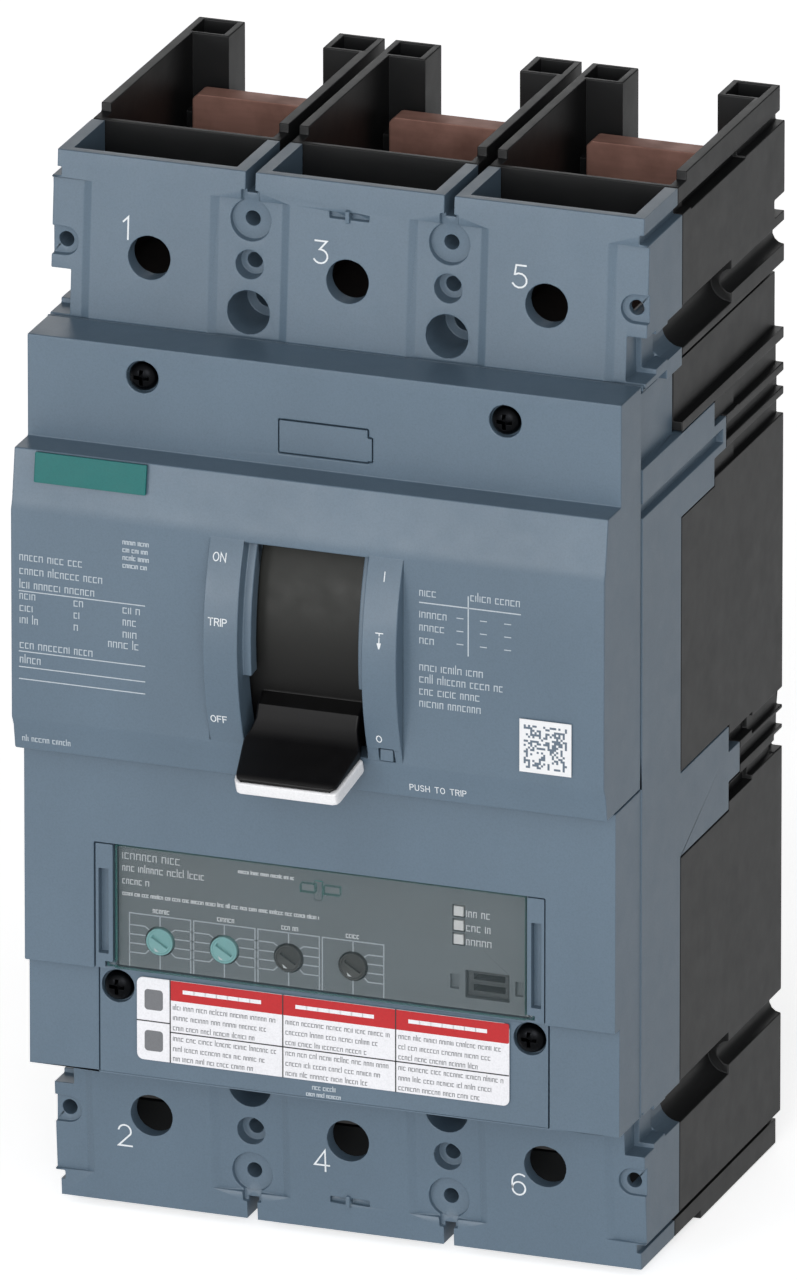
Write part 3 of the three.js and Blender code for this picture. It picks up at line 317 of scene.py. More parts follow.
def edge_choice_group(steep, shallow, recess_end, recess_front):
    """A modifier that sets bevel weights: steep edges, and shallow ones that don't run
    along Y (those are the facets of holes). The ends of the shallow recesses run out to nothing,
    so they stay sharp."""
    tree = bpy.data.node_groups.new("edge_choice", "GeometryNodeTree")
    for side in ("INPUT", "OUTPUT"):
        tree.interface.new_socket("Geometry", in_out=side, socket_type="NodeSocketGeometry")

    def node(kind, **settings):
        made = tree.nodes.new(kind)
        for key, value in settings.items():
            setattr(made, key, value)
        return made

    def math_step(operation, *values):
        step = node("ShaderNodeMath", operation=operation)
        for socket, value in zip(step.inputs, values):
            if isinstance(value, bpy.types.NodeSocket):
                tree.links.new(value, socket)
            else:
                socket.default_value = value
        return step.outputs[0]

    start, end = node("NodeGroupInput"), node("NodeGroupOutput")
    angle = node("GeometryNodeInputMeshEdgeAngle").outputs["Unsigned Angle"]
    ends = node("GeometryNodeInputMeshEdgeVertices")
    run = node("ShaderNodeVectorMath", operation="SUBTRACT")
    tree.links.new(ends.outputs["Position 1"], run.inputs[0])
    tree.links.new(ends.outputs["Position 2"], run.inputs[1])
    way = node("ShaderNodeVectorMath", operation="NORMALIZE")
    tree.links.new(run.outputs[0], way.inputs[0])
    way_parts = node("ShaderNodeSeparateXYZ")
    tree.links.new(way.outputs[0], way_parts.inputs[0])
    along_y = math_step("GREATER_THAN", math_step("ABSOLUTE", way_parts.outputs["Y"]), AXIS_SHARE)
    middle = node("ShaderNodeSeparateXYZ")
    tree.links.new(node("GeometryNodeInputPosition").outputs[0], middle.inputs[0])
    off_end = math_step("ABSOLUTE", math_step(
        "SUBTRACT", math_step("ABSOLUTE", middle.outputs["Z"]), recess_end))
    at_end = math_step("MULTIPLY", math_step("LESS_THAN", off_end, RECESS_BAND),
                       math_step("LESS_THAN", middle.outputs["Y"], recess_front))
    gentle = math_step("MULTIPLY", math_step("GREATER_THAN", angle, math.radians(shallow)),
                       math_step("SUBTRACT", 1.0, along_y))
    wanted = math_step("MAXIMUM", gentle, math_step("GREATER_THAN", angle, math.radians(steep)))
    weight = math_step("MULTIPLY", wanted, math_step("SUBTRACT", 1.0, at_end))
    store = node("GeometryNodeStoreNamedAttribute", data_type="FLOAT", domain="EDGE")
    store.inputs["Name"].default_value = "bevel_weight_edge"
    tree.links.new(start.outputs[0], store.inputs["Geometry"])
    tree.links.new(weight, store.inputs["Value"])
    tree.links.new(store.outputs["Geometry"], end.inputs[0])
    return tree


def round_edges(piece, width, segments=2, angle=28, weld=False, choice=None):
    """Rounds a piece's edges by modifiers, and keeps its flats looking flat."""
    if weld:
        piece.modifiers.new("weld", "WELD").merge_threshold = 0.01 * MM
    if choice:
        piece.modifiers.new("choice", "NODES").node_group = choice
    if width:
        edges = piece.modifiers.new("edges", "BEVEL")
        edges.width = width * MM
        edges.segments = segments
        edges.limit_method = "WEIGHT" if choice else "ANGLE"
        edges.angle_limit = math.radians(angle)
        edges.use_clamp_overlap = False
        edges.miter_outer = "MITER_ARC"
    piece.modifiers.new("smooth", "NODES").node_group = SMOOTH
    normals = piece.modifiers.new("normals", "WEIGHTED_NORMAL")
    normals.mode = "FACE_AREA"
    normals.weight = 100


def finish_node(name, material, width=0.25, segments=2, choice=None):
    piece = NODES[name]
    piece.data.materials.clear()
    piece.data.materials.append(material)
    round_edges(piece, width, segments, weld=True, choice=choice)


POLES = (1, 2, 3)
SIDES = ("left", "right")
NODE_FINISHES = [
    # nodes, material, slot of the record, edge radius in millimetres
    (["base_housing"], BLACK, "black_moulding", 0.25),
    (["front_cover"], BLUE_GREY, "blue_grey_moulding", 0.3),
    (["lower_plate", "accessory_window", "trip_button"], BLUE_GREY, "blue_grey_moulding", 0.2),
    ([f"cover_rail_{side}" for side in SIDES], BLUE_GREY, "blue_grey_moulding", 0.12),
    (["trip_unit_body"], PANEL, "panel_grey", 0.08),
    ([f"status_lamp_{i}" for i in (1, 2, 3)], LAMP, "lamp_white", 0.15),
    (["test_port"], PORT, "port_dark", 0.2),
    (["circuit_board"], BOARD, "board_green", 0.15),
    (["trip_unit_cover"], CLEAR, "clear_cover", 0.15),
    (["trip_bar"], FIBRE, "trip_bar_tan", 0.3),
    (["crossbar"], PHENOLIC, "grip_black", 0.3),
    ([f"current_transformer_{i}" for i in POLES], COIL, "coil_brown", 0.6),
    ([f"{kind}_terminal_{i}" for kind in ("line", "load") for i in POLES], COPPER, "copper", 0.4),
    ([f"contact_arm_{i}" for i in POLES], COPPER, "copper", 0.3),
    ([f"arc_chute_{i}" for i in POLES], STEEL, "steel", 0.15),
    ([f"main_spring_{side}" for side in SIDES], STEEL, "steel", 0.1),
    ([f"mechanism_plate_{side}" for side in SIDES], STEEL, "steel", 0.2),
    (["handle_yoke", "cradle_pin", "cradle", "toggle_link_upper", "toggle_link_lower",
      "trip_magnet", "magnet_plunger"], STEEL, "steel", 0.2),
]
for names, material, slot, width in NODE_FINISHES:
    for name in names:
        finish_node(name, material, width)


RECESS_END = 115.65 * MM  # where the shallow recesses of the terminal faces stop
RECESS_FRONT = -87 * MM  # and what they lie ahead of
STEEP, SHALLOW = 28, 17  # degrees: edges that are rounded whatever their way, and facets of holes
finish_node("mid_housing", BLUE_GREY, 0.22,
            choice=edge_choice_group(STEEP, SHALLOW, RECESS_END, RECESS_FRONT))


# ---------------------------------------------------------------- new pieces
def add_piece(name, bm, material, body, slot, *stands_for):
    """Makes a piece of a bmesh, lets it ride on a CAD body and stand for CAD nodes."""
    bmesh.ops.recalc_face_normals(bm, faces=bm.faces)
    mesh = bpy.data.meshes.new(name)
    bm.to_mesh(mesh)
    bm.free()
    piece = bpy.data.objects.new(name, mesh)
    bpy.context.scene.collection.objects.link(piece)
    for made in material if isinstance(material, (list, tuple)) else [material]:
        mesh.materials.append(made)
    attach(piece, body)
    if stands_for:
        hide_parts(*stands_for)
    return piece


def prism(bm, outline, front, back, index=0):
    """A closed prism of an (x, z) outline between two places along Y."""
    rings = [[bm.verts.new((x, y, z)) for x, z in outline] for y in (front, back)]
    faces = [bm.faces.new(rings[0]), bm.faces.new(rings[1][::-1])]
    for i in range(len(outline)):
        j = (i + 1) % len(outline)
        faces.append(bm.faces.new((rings[0][i], rings[1][i], rings[1][j], rings[0][j])))
    for face in faces:
        face.material_index = index
    return faces


def rounded(x0, x1, z0, z1, radius, steps=6):
    """Outline of a rectangle with round corners, in the units it is given."""
    points = []
    for cx, cz, start in ((x1, z1, 0), (x0, z1, 90), (x0, z0, 180), (x1, z0, 270)):
        sx, sz = (1 if cx == x1 else -1), (1 if cz == z1 else -1)
        for i in range(steps + 1):
            a = math.radians(start + 90 * i / steps)
            points.append((cx + radius * (math.cos(a) - sx), cz + radius * (math.sin(a) - sz)))
    return points


def turned(bm, profile, centre, sides=48):
    """A body turned about the Y axis through centre, from (radius, y) points front to back."""
    x, z = centre
    angles = [2 * math.pi * i / sides for i in range(sides)]
    rings = []
    for radius, y in profile:
        round_points = [(x + radius * math.cos(a), y, z + radius * math.sin(a)) for a in angles]
        rings.append([bm.verts.new(at) for at in (round_points if radius else [(x, y, z)])])
    for first, second in zip(rings, rings[1:]):
        for i in range(sides):
            j = (i + 1) % sides
            corners = [first[i % len(first)], first[j % len(first)], second[j % len(second)],
                       second[i % len(second)]]
            bm.faces.new(list(dict.fromkeys(corners)))


def carve(piece, build):
    """Cuts the solid that build(bm) makes out of a piece, for good."""
    bm = bmesh.new()
    build(bm)
    bmesh.ops.recalc_face_normals(bm, faces=bm.faces)
    mesh = bpy.data.meshes.new("cutter")
    bm.to_mesh(mesh)
    bm.free()
    cutter = bpy.data.objects.new("cutter", mesh)
    bpy.context.scene.collection.objects.link(cutter)
    boolean = piece.modifiers.new("cut", "BOOLEAN")
    boolean.object = cutter
    boolean.operation = "DIFFERENCE"
    bpy.context.view_layer.update()
    evaluated = piece.evaluated_get(bpy.context.evaluated_depsgraph_get())
    cut = bpy.data.meshes.new_from_object(evaluated)
    piece.modifiers.remove(boolean)
    piece.data = cut
    bpy.data.objects.remove(cutter)


# screws: a domed head with a tapered cross recess. The dome is given as shares of the head's
# radius and height, the other sizes in millimetres
SCREW_DOME = [(0, 0), (0.3, 0.02), (0.55, 0.09), (0.75, 0.22), (0.9, 0.42), (0.98, 0.68), (1, 0.86)]
SCREW_HEAD = 2.4
SCREW_SHANK = 1.6
CROSS = {"reach": 2.0, "half": 0.42, "deep": 1.7}


def screw(node):
    low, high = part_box(node)
    radius = (high.x - low.x) / 2
    middle = ((low.x + high.x) / 2, (low.z + high.z) / 2)
    head, shank = SCREW_HEAD * MM, SCREW_SHANK * MM
    bm = bmesh.new()
    profile = [(r * radius, low.y + d * head) for r, d in SCREW_DOME]
    profile += [(radius, low.y + head), (shank, low.y + head), (shank, high.y), (0, high.y)]
    turned(bm, profile, middle)
    piece = add_piece(node + "_head", bm, DARK_STEEL, "case", "screw_black", node)

    def cross(bm):
        """A plus in outline that narrows towards its floor."""
        rings = []
        for y, share in ((low.y - MM, 1.2), (low.y + CROSS["deep"] * MM, 0.5)):
            a, b = CROSS["reach"] * MM * share, CROSS["half"] * MM * (0.7 + 0.3 * share)
            plus = [(-a, -b), (-b, -b), (-b, -a), (b, -a), (b, -b), (a, -b),
                    (a, b), (b, b), (b, a), (-b, a), (-b, b), (-a, b)]
            rings.append([bm.verts.new((middle[0] + u, y, middle[1] + v)) for u, v in plus])
        bm.faces.new(rings[0])
        bm.faces.new(rings[1][::-1])
        for i in range(len(plus)):
            j = (i + 1) % len(plus)
            bm.faces.new((rings[0][i], rings[1][i], rings[1][j], rings[0][j]))

    carve(piece, cross)
    round_edges(piece, 0.06, 2)


for side in SIDES:
    screw(f"cover_screw_{side}")
    screw(f"plate_screw_{side}")


# setting dials: a shallow drum with a lip, a screwdriver slot and a small pointer. The sizes of
# the slot and the pointer's corners are in millimetres from the dial's middle
DIAL_RIM = 3.5
DIAL_SLOT = {"reach": 2.1, "half": 0.42, "deep": 1.1, "lean": -32}
DIAL_POINTER = [(-1.35, -1.5), (-0.2, -2.35), (-1.05, -2.35)]


def dial(number, material, slot):
    node = f"setting_dial_{number}"
    low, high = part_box(node)
    radius = (high.x - low.x) / 2
    middle = ((low.x + high.x) / 2, (low.z + high.z) / 2)
    bm = bmesh.new()
    face, rim_end, stem = low.y + 0.25 * MM, low.y + DIAL_RIM * MM, radius * 0.36
    turned(bm, [(0, face), (radius * 0.84, face), (radius * 0.88, low.y), (radius, low.y),
                (radius, rim_end), (stem, rim_end), (stem, high.y), (0, high.y)], middle)
    piece = add_piece(f"dial_{number}_drum", bm, material, f"dial_{number}", slot, node)

    def groove(bm):
        lean = Matrix.Rotation(math.radians(DIAL_SLOT["lean"]), 2)
        a, b = DIAL_SLOT["reach"], DIAL_SLOT["half"]
        corners = [lean @ Vector(c) for c in ((-a, -b), (a, -b), (a, b), (-a, b))]
        prism(bm, [(middle[0] + c.x * MM, middle[1] + c.y * MM) for c in corners],
              low.y - MM, low.y + DIAL_SLOT["deep"] * MM)

    carve(piece, groove)
    round_edges(piece, 0.1, 2)
    bm = bmesh.new()
    prism(bm, [(middle[0] + x * MM, middle[1] + z * MM) for x, z in DIAL_POINTER],
          low.y + 0.2 * MM, low.y + 0.5 * MM)
    add_piece(f"dial_{number}_pointer", bm, INK, f"dial_{number}", "lamp_white")


DIAL_FINISHES = [(DIAL_TEAL, "dial_teal")] * 2 + [(DIAL_DARK, "dial_dark")] * 2
for number, (material, slot) in enumerate(DIAL_FINISHES, 1):
    dial(number, material, slot)


# ---------------------------------------------------------------- plates
def plate(name, outline, front, back, material, body, slot, *stands_for, radius=0.15):
    bm = bmesh.new()
    prism(bm, outline, front, back)
    piece = add_piece(name, bm, material, body, slot, *stands_for)
    round_edges(piece, radius)
    return piece


# handle: grip and skirt take broad soft edges; badge and code plate are left as thin plates
finish_node("handle_grip", SLIDE, 0.6, 4)
finish_node("handle_skirt", WHITE, 0.45, 3)
finish_node("badge_plate", TEAL, 0.25, 3)
CODE_FINISH = code_pattern("code_pattern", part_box("code_plate"))
finish_node("code_plate", CODE_FINISH, 0.05)

# lower label: a pale sheet with a coloured head, ruled into columns
label_low, label_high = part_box("rating_label")
LABEL_FACE = label_low.y
LABEL_CORNER = 1.5 * MM
LABEL_HEAD = (-35.6, 43.35, -65.9, -61.25)  # left, right, bottom and top
PRINT = 0.03 * MM  # how far print stands proud

sheet_outline = rounded(label_low.x, label_high.x, label_low.z, label_high.z, LABEL_CORNER)
plate("label_sheet", sheet_outline, LABEL_FACE, label_high.y, PAPER, "case", "label_white",
      "rating_label", radius=0.06)
head_outline = rounded(*(at * MM for at in LABEL_HEAD), 0.4 * MM)
plate("label_head", head_outline, LABEL_FACE - PRINT, LABEL_FACE + PRINT, RED, "case",
      "label_white", radius=0.02)


# ---------------------------------------------------------------- print
AHEAD = -0.3  # rays start here, in metres, ahead of everything


def skin(*names):
    """A function (x, z) -> y of the front of some CAD nodes, in metres."""
    trees = []
    for name in names:
        bm = bmesh.new()
        bm.from_mesh(NODES[name].data)
        trees.append(BVHTree.FromBMesh(bm))
        bm.free()

    def front(x, z):
        hits = [tree.ray_cast(Vector((x, AHEAD, z)), FORWARD)[0] for tree in trees]
        return min(hit.y for hit in hits if hit)
    return front


def flat(y):
    return lambda x, z: y


def bow(cx, cz, rx, rz, start, end, steps=10):
    """Points of an elliptical arc; angles in degrees, from the right, turning up."""
    turns = [math.radians(start + (end - start) * i / steps) for i in range(steps + 1)]
    return [(cx + rx * math.cos(a), cz + rz * math.sin(a)) for a in turns]


# plain single-stroke characters, one unit high: strokes and width
GLYPHS = {
    "1": ([[(0, 0.78), (0.22, 1), (0.22, 0)]], 0.22),
    "2": ([bow(0.3, 0.7, 0.29, 0.3, 165, -25) + [(0, 0), (0.62, 0)]], 0.62),
    "3": ([[(0.03, 1), (0.56, 1), (0.24, 0.62)] + bow(0.28, 0.31, 0.33, 0.31, 88, -150)], 0.6),
    "4": ([[(0.5, 0), (0.5, 1), (0, 0.28), (0.68, 0.28)]], 0.68),
    "5": ([[(0.56, 1), (0.12, 1), (0.06, 0.58)] + bow(0.28, 0.32, 0.34, 0.32, 125, -152)], 0.62),
    "6": ([bow(0.37, 0.62, 0.36, 0.38, 55, 180) + [(0.01, 0.32)],
           bow(0.31, 0.31, 0.3, 0.31, 0, 360, 20)], 0.62),
    "O": ([bow(0.36, 0.5, 0.36, 0.5, 0, 360, 22)], 0.72),
    "N": ([[(0, 0), (0, 1), (0.66, 0), (0.66, 1)]], 0.66),
    "F": ([[(0, 0), (0, 1), (0.55, 1)], [(0, 0.52), (0.46, 0.52)]], 0.55),
    "T": ([[(0, 1), (0.64, 1)], [(0.32, 1), (0.32, 0)]], 0.64),
    "R": ([[(0, 0), (0, 1)] + bow(0.36, 0.76, 0.24, 0.24, 90, -90, 8) + [(0, 0.52)],
           [(0.34, 0.52), (0.6, 0)]], 0.6),
    "P": ([[(0, 0), (0, 1)] + bow(0.34, 0.75, 0.25, 0.25, 90, -90, 8) + [(0, 0.5)]], 0.59),
    "I": ([[(0, 0), (0, 1)]], 0.0),
    "U": ([[(0, 1)] + bow(0.31, 0.31, 0.31, 0.31, 180, 360, 10) + [(0.62, 1)]], 0.62),
    "S": ([bow(0.3, 0.76, 0.27, 0.24, 30, 270, 12)
           + bow(0.3, 0.26, 0.29, 0.26, 90, -150, 12)[1:]], 0.6),
    "H": ([[(0, 0), (0, 1)], [(0.64, 0), (0.64, 1)], [(0, 0.52), (0.64, 0.52)]], 0.64),
    " ": ([], 0.35),
}


def lettering(text, x, z, height, gap=0.26):
    """Strokes of a line of text from its lower left corner, in millimetres."""
    strokes = []
    for character in text:
        glyph, width = GLYPHS[character]
        strokes += [[(x + u * height, z + v * height) for u, v in stroke] for stroke in glyph]
        x += (width + gap) * height
    return strokes


def greeked(rng, x0, x1, z, height):
    """Marks that stand for a line of small print: groups of plain stems, no letters."""
    strokes = []
    x = x0
    while x < x1 - height * 0.4:
        for _ in range(rng.randint(3, 7)):
            if x > x1 - height * 0.4:
                break
            tall = height * rng.choice((0.62, 0.62, 0.7, 1.0))
            wide = height * rng.uniform(0.3, 0.42)
            kind = rng.random()
            top = z + 0.62 * height
            stroke = [(x, z), (x, z + tall)]
            if kind < 0.4:
                stroke = [(x, z), (x, top), (x + wide, top), (x + wide, z)]
            elif kind < 0.75:
                stroke = [(x + wide, z), (x, z), (x, top), (x + wide, top)]
            strokes.append(stroke)
            x += height * 0.26 + (wide if kind < 0.75 else 0)
        x += height * 0.4
    return strokes


def ribbon(bm, points, width, surface, proud):
    """A thin closed band along a polyline on a surface, with mitred corners. Metres."""
    closed = len(points) > 3 and (Vector(points[0]) - Vector(points[-1])).length < 1e-7
    path = [Vector(p) for p in (points[:-1] if closed else points)]
    count = len(path)
    rows = []
    for i, here in enumerate(path):
        before = path[i - 1] if closed or i else None
        after = path[(i + 1) % count] if closed or i < count - 1 else None
        ways = [(b - a).normalized() for a, b in ((before, here), (here, after))
                if a is not None and b is not None]
        normals = [Vector((-w.y, w.x)) for w in ways]
        mitre = sum(normals, Vector((0, 0))).normalized()
        reach = width / 2 / max(mitre.dot(normals[0]), 0.35)
        shift = Vector((0, 0))
        if not closed and i in (0, count - 1):
            shift = ways[0] * (-width / 2 if i == 0 else width / 2)
        row = []
        for sign, depth in ((1, -proud), (-1, -proud), (-1, proud), (1, proud)):
            at = here + mitre * (sign * reach) + shift
            row.append(bm.verts.new((at.x, surface(at.x, at.y) + depth, at.y)))
        rows.append(row)
    for i in range(count if closed else count - 1):
        a, b = rows[i], rows[(i + 1) % count]
        for k in range(4):
            bm.faces.new((a[k], a[(k + 1) % 4], b[(k + 1) % 4], b[k]))
    if not closed:
        bm.faces.new(rows[0])
        bm.faces.new(rows[-1][::-1])


def print_on(name, strokes, width, surface, material=INK, slot="label_white", proud=0.03):
    """One piece of print on the case: strokes in millimetres laid on a surface."""
    bm = bmesh.new()
    for stroke in strokes:
        ribbon(bm, [(x * MM, z * MM) for x, z in stroke], width * MM, surface, proud * MM)
    return add_piece(name, bm, material, "case", slot)


cover_face = skin("front_cover")
housing_face = skin("mid_housing")
panel_face = flat(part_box("trip_unit_body")[0].y)
RNG = random.Random(7)

# pole numbers
POLE_NUMBERS = [("1", -52.15, 103.65), ("3", -7.8, 103.45), ("5", 38.2, 103.35),
                ("2", -53.95, -108.1), ("4", -7.95, -108.0), ("6", 38.2, -107.6)]
for text, x, z in POLE_NUMBERS:
    print_on(f"pole_number_{text}", lettering(text, x, z, 5.0), 0.38, housing_face)

# scale beside the handle
left_words = (lettering("ON", -21.0, 42.45, 1.75) + lettering("TRIP", -21.1, 28.5, 1.6)
              + lettering("OFF", -21.4, 5.2, 1.55))
right_marks = (lettering("I", 18.6, 42.5, 1.9) + lettering("O", 17.0, 5.2, 1.6)
               + [[(17.6, 31.3), (19.2, 31.3)], [(18.4, 31.3), (18.4, 28.9)]])
print_on("scale_words", left_words + right_marks, 0.22, cover_face)
bm = bmesh.new()
arrow = [(17.9, 29.1), (18.9, 29.1), (18.4, 27.2)]
y = cover_face(18.4 * MM, 28.2 * MM)
prism(bm, [(u * MM, v * MM) for u, v in arrow], y - 0.04 * MM, y + 0.1 * MM)
add_piece("scale_arrow", bm, INK, "case", "label_white")
print_on("push_note", lettering("PUSH TO TRIP", 23.3, -6.4, 1.35, 0.3), 0.16, cover_face)

# small print of both fields, greeked
left_lines = [(-66.6, -51.0, 36.4), (-66.6, -46.4, 33.2), (-66.6, -48.6, 30.0),
              (-66.6, -62.0, 27.4), (-54.0, -52.0, 27.2), (-42.6, -38.8, 27.0),
              (-66.6, -62.0, 24.6), (-54.0, -52.0, 24.4), (-42.6, -38.8, 24.2),
              (-66.6, -62.0, 21.8), (-54.0, -52.0, 21.6), (-42.6, -38.8, 21.4),
              (-46.0, -38.8, 18.8), (-66.6, -48.4, 16.0), (-66.6, -61.2, 12.6)]
left_print = [s for x0, x1, z in left_lines for s in greeked(RNG, x0, x1, z, 1.9)]
rules = [[(-66.8, z), (-37.6, z)] for z in (29.2, 15.2, 11.6, 8.8)]
print_on("left_print", left_print, 0.19, cover_face, SOFT_INK)
print_on("left_rules", rules, 0.22, cover_face, SOFT_INK)
mark_lines = [s for i, z in enumerate((43.0, 41.2, 39.4, 37.6))
              for s in greeked(RNG, -42.6, -36.0 - i * 0.3, z, 1.1)]
print_on("left_mark_print", mark_lines, 0.18, cover_face, SOFT_INK)
right_lines = [(26.2, 31.0, 39.6), (38.0, 49.6, 39.8), (26.2, 33.6, 34.6), (26.2, 33.6, 31.6),
               (26.2, 29.6, 28.6), (26.2, 41.4, 22.4), (26.2, 46.0, 19.6), (26.2, 40.6, 16.8),
               (26.2, 41.0, 14.0)]
right_print = [s for x0, x1, z in right_lines for s in greeked(RNG, x0, x1, z, 1.9)]
dashes = [[(x, z), (x + 1.4, z)] for x in (34.8, 40.2, 45.8) for z in (35.4, 32.4, 29.4)]
print_on("right_print", right_print + dashes, 0.19, cover_face, SOFT_INK)
right_rules = [[(26.2, 38.0), (49.4, 38.0)], [(37.4, 40.6), (37.4, 27.0)]]
print_on("right_rules", right_rules, 0.26, cover_face, SOFT_INK)
print_on("corner_print", greeked(RNG, -66.8, -55.6, -6.2, 1.4), 0.17, cover_face, SOFT_INK)

# label: rules, column blocks and greeked lines
label_face = flat(LABEL_FACE)
COLUMNS = [(-35.6, -9.3), (-9.3, 17.0), (17.0, 43.35)]
label_rules = [[(left, -61.3), (left, -80.4)] for left, _ in COLUMNS]
label_rules += [[(-43.3, -71.35), (-35.6, -71.35)], [(-35.6, -73.35), (43.2, -73.35)]]
print_on("label_rules", label_rules, 0.26, label_face, LINE_INK, proud=0.06)
label_text, head_text = [], []
for left, right in COLUMNS:
    for row, z in enumerate((-67.9, -70.3, -72.7, -75.2, -77.6, -79.9)):
        label_text += greeked(RNG, left + 0.7, right - (1.2, 3.6, 6.5)[row % 3], z, 1.2)
    head_text += [[(left + 3.4 + 2.6 * i, -63.6), (left + 5.2 + 2.6 * i, -63.6)] for i in range(7)]
print_on("label_print", label_text, 0.15, label_face, GREY_INK)
print_on("label_head_print", head_text, 0.9, label_face, PAPER, proud=0.06)
for name, z in (("upper", -66.3), ("lower", -75.9)):
    outline = rounded(-41.6 * MM, -37.3 * MM, (z - 2.4) * MM, (z + 2.4) * MM, 0.8 * MM)
    plate(f"label_block_{name}", outline, LABEL_FACE - PRINT, LABEL_FACE + PRINT,
          GREY_INK, "case", "label_white", radius=0.02)
plate_text = greeked(RNG, -2.6, 3.2, -82.6, 1.1) + greeked(RNG, -4.0, 4.6, -84.2, 0.9)
print_on("plate_print", plate_text, 0.18, flat(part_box("lower_plate")[0].y), SOFT_INK)

# trip unit panel: a frame round each dial, with leaders from its scale to the frame
FRAME_HALF, FRAME_TOP, FRAME_BOTTOM = 7.15, -46.75, -59.05
DIAL_CLEAR = 3.5  # lines stop this far from a dial's middle
panel_lines, panel_text = [], []
for number in (1, 2, 3, 4):
    low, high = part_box(f"setting_dial_{number}")
    x, z = (low.x + high.x) / 2 / MM, (low.z + high.z) / 2 / MM
    x0, x1 = x - FRAME_HALF, x + FRAME_HALF
    panel_lines.append([(x0, FRAME_BOTTOM), (x0, FRAME_TOP), (x1, FRAME_TOP), (x1, FRAME_BOTTOM)])
    panel_lines += [[(x, FRAME_TOP), (x, z + DIAL_CLEAR)], [(x, z - DIAL_CLEAR), (x, FRAME_BOTTOM)]]
    for side in (1, -1) if number < 4 else (1,):
        edge, near = x + side * FRAME_HALF, x + side * DIAL_CLEAR
        for at in (0.95, -1.15):
            panel_lines.append([(near, z + at), (edge, z + at)])
        for at, sign in ((3.1, 1), (-3.3, -1)):
            bend = (x + side * 2.7, z + sign * 2.5)
            panel_lines.append([bend, (near, z + at), (edge, z + at)])
    panel_text += greeked(RNG, x - 1.6, x + 2.4, FRAME_TOP + 0.7, 1.2)
print_on("panel_frames", panel_lines, 0.28, panel_face, SOFT_INK, slot="lamp_white")
panel_text += (greeked(RNG, -46.8, -31.5, -34.2, 2.1) + greeked(RNG, -46.8, -27.5, -37.0, 1.7)
               + greeked(RNG, -46.8, -39.8, -40.0, 1.6) + greeked(RNG, -19.8, -6.4, -34.2, 0.8)
               + greeked(RNG, -46.8, -0.6, -42.7, 0.9))
for number in (1, 2, 3):
    low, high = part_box(f"status_lamp_{number}")
    panel_text += greeked(RNG, high.x / MM + 0.7, high.x / MM + 6.4, low.z / MM + 0.1, 1.9)
print_on("panel_print", panel_text, 0.21, panel_face, INK, slot="lamp_white")


# ---------------------------------------------------------------- stage, light and camera
FLOOR_HALF = 4.0
FLOOR_GAP = 0.2 * MM  # below the object
FLOOR_GLOW = (0.32, 0.74)  # to the object, and to the camera
floor_mesh = bpy.data.meshes.new("floor")
floor_level = CAD_BOX[0][2] - FLOOR_GAP
corners = [(x * FLOOR_HALF, y * FLOOR_HALF) for x, y in ((-1, -1), (1, -1), (1, 1), (-1, 1))]
floor_mesh.from_pydata([(x, y, floor_level) for x, y in corners], [], [(0, 1, 2, 3)])
floor = bpy.data.objects.new("floor", floor_mesh)
bpy.context.scene.collection.objects.link(floor)
floor_finish = Finish("floor_pale", {"Roughness": 0.9})
floor_tone = floor_finish.ramp(floor_finish.noise(90), colour("f4f4f4"), colour("f7f7f7"))
floor_finish.feed(floor_finish.shader.inputs["Base Color"], floor_tone)
floor_finish.feed(floor_finish.shader.inputs["Emission Color"], floor_tone)
seen = floor_finish.node("ShaderNodeLightPath").outputs["Is Camera Ray"]
floor_glow = floor_finish.ramp(seen, *FLOOR_GLOW, 0, 1)
floor_finish.feed(floor_finish.shader.inputs["Emission Strength"], floor_glow)
floor_mesh.materials.append(floor_finish.material)


def direction(azimuth, elevation):
    """A unit vector from the object, in degrees round to the right of its front and upwards."""
    a, e = math.radians(azimuth), math.radians(elevation)
    return Vector((math.sin(a) * math.cos(e), -math.cos(a) * math.cos(e), math.sin(e)))


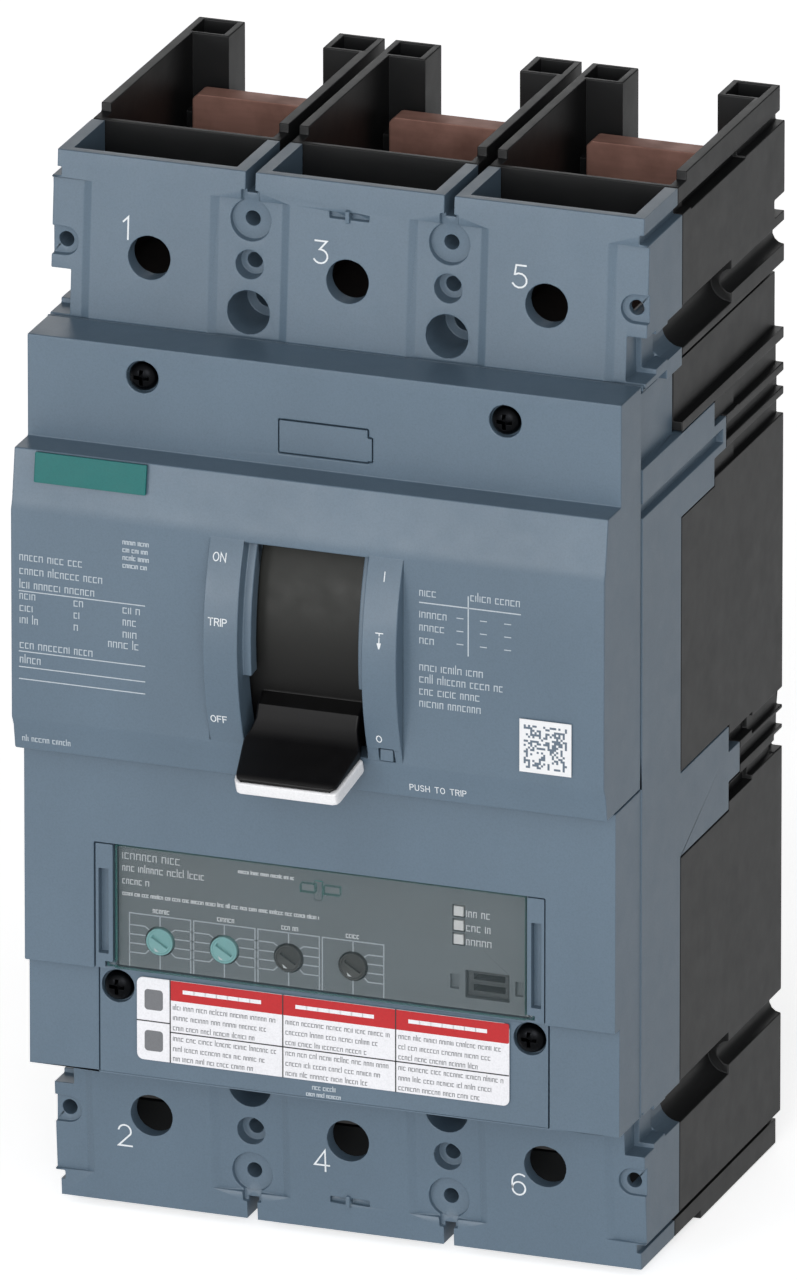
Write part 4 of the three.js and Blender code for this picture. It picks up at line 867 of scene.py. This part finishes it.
def studio(ambient, glow, towards):
    """A plain studio: an even light that grows towards one direction, white to the camera."""
    world = bpy.data.worlds.new("studio")
    world.use_nodes = True
    tree = world.node_tree
    background = tree.nodes["Background"]
    background.inputs["Color"].default_value = (0.985, 0.99, 1.0, 1)
    place = tree.nodes.new("ShaderNodeTexCoord")
    aim = tree.nodes.new("ShaderNodeVectorMath")
    aim.operation = "DOT_PRODUCT"
    aim.inputs[1].default_value = towards
    tree.links.new(place.outputs["Generated"], aim.inputs[0])
    ramp = tree.nodes.new("ShaderNodeMapRange")
    ramp.interpolation_type = "SMOOTHSTEP"
    limits = {"From Min": -0.2, "From Max": 1.0, "To Min": ambient, "To Max": ambient + glow}
    for key, value in limits.items():
        ramp.inputs[key].default_value = value
    tree.links.new(aim.outputs["Value"], ramp.inputs["Value"])
    path = tree.nodes.new("ShaderNodeLightPath")
    pick = tree.nodes.new("ShaderNodeMix")
    pick.inputs["B"].default_value = 1.0
    tree.links.new(path.outputs["Is Camera Ray"], pick.inputs["Factor"])
    tree.links.new(ramp.outputs["Result"], pick.inputs["A"])
    tree.links.new(pick.outputs["Result"], background.inputs["Strength"])
    return world


bpy.context.scene.world = studio(0.07, 0.9, direction(12, 2))

AIM = Vector((0, -58, 6)) * MM
LIGHTS = [
    # azimuth from the front, elevation, distance, size, power
    ("key", 14, 18, 3.0, 1.5, 20),
    ("front", 6, 10, 3.0, 1.0, 6),
    ("sheen", -20, 3, 3.0, 0.8, 13),
    ("back", 196, 14, 3.0, 1.5, 9),
]
for name, azimuth, elevation, distance, size, power in LIGHTS:
    lamp = bpy.data.lights.new(name, "AREA")
    lamp.shape = "DISK"
    lamp.size = size
    lamp.energy = power
    held = bpy.data.objects.new(name, lamp)
    bpy.context.scene.collection.objects.link(held)
    way = direction(azimuth, elevation)
    held.location = AIM + way * distance
    held.rotation_euler = way.to_track_quat("Z", "Y").to_euler()
    held.visible_camera = False

# a long lens, so that the view is close to a parallel one
VIEW_AZIMUTH, VIEW_ELEVATION = 20, 20
VIEW_HEIGHT = 280.8 * MM  # what the long side of the picture spans at the aim point
camera = bpy.data.cameras.new("camera")
camera.lens, camera.sensor_width = 900, 36
holder = bpy.data.objects.new("camera", camera)
bpy.context.scene.collection.objects.link(holder)
back = direction(VIEW_AZIMUTH, VIEW_ELEVATION)
holder.location = AIM + back * (VIEW_HEIGHT * camera.lens / camera.sensor_width)
holder.rotation_euler = back.to_track_quat("Z", "Y").to_euler()
bpy.context.scene.camera = holder
bpy.context.scene.view_settings.view_transform = "Standard"
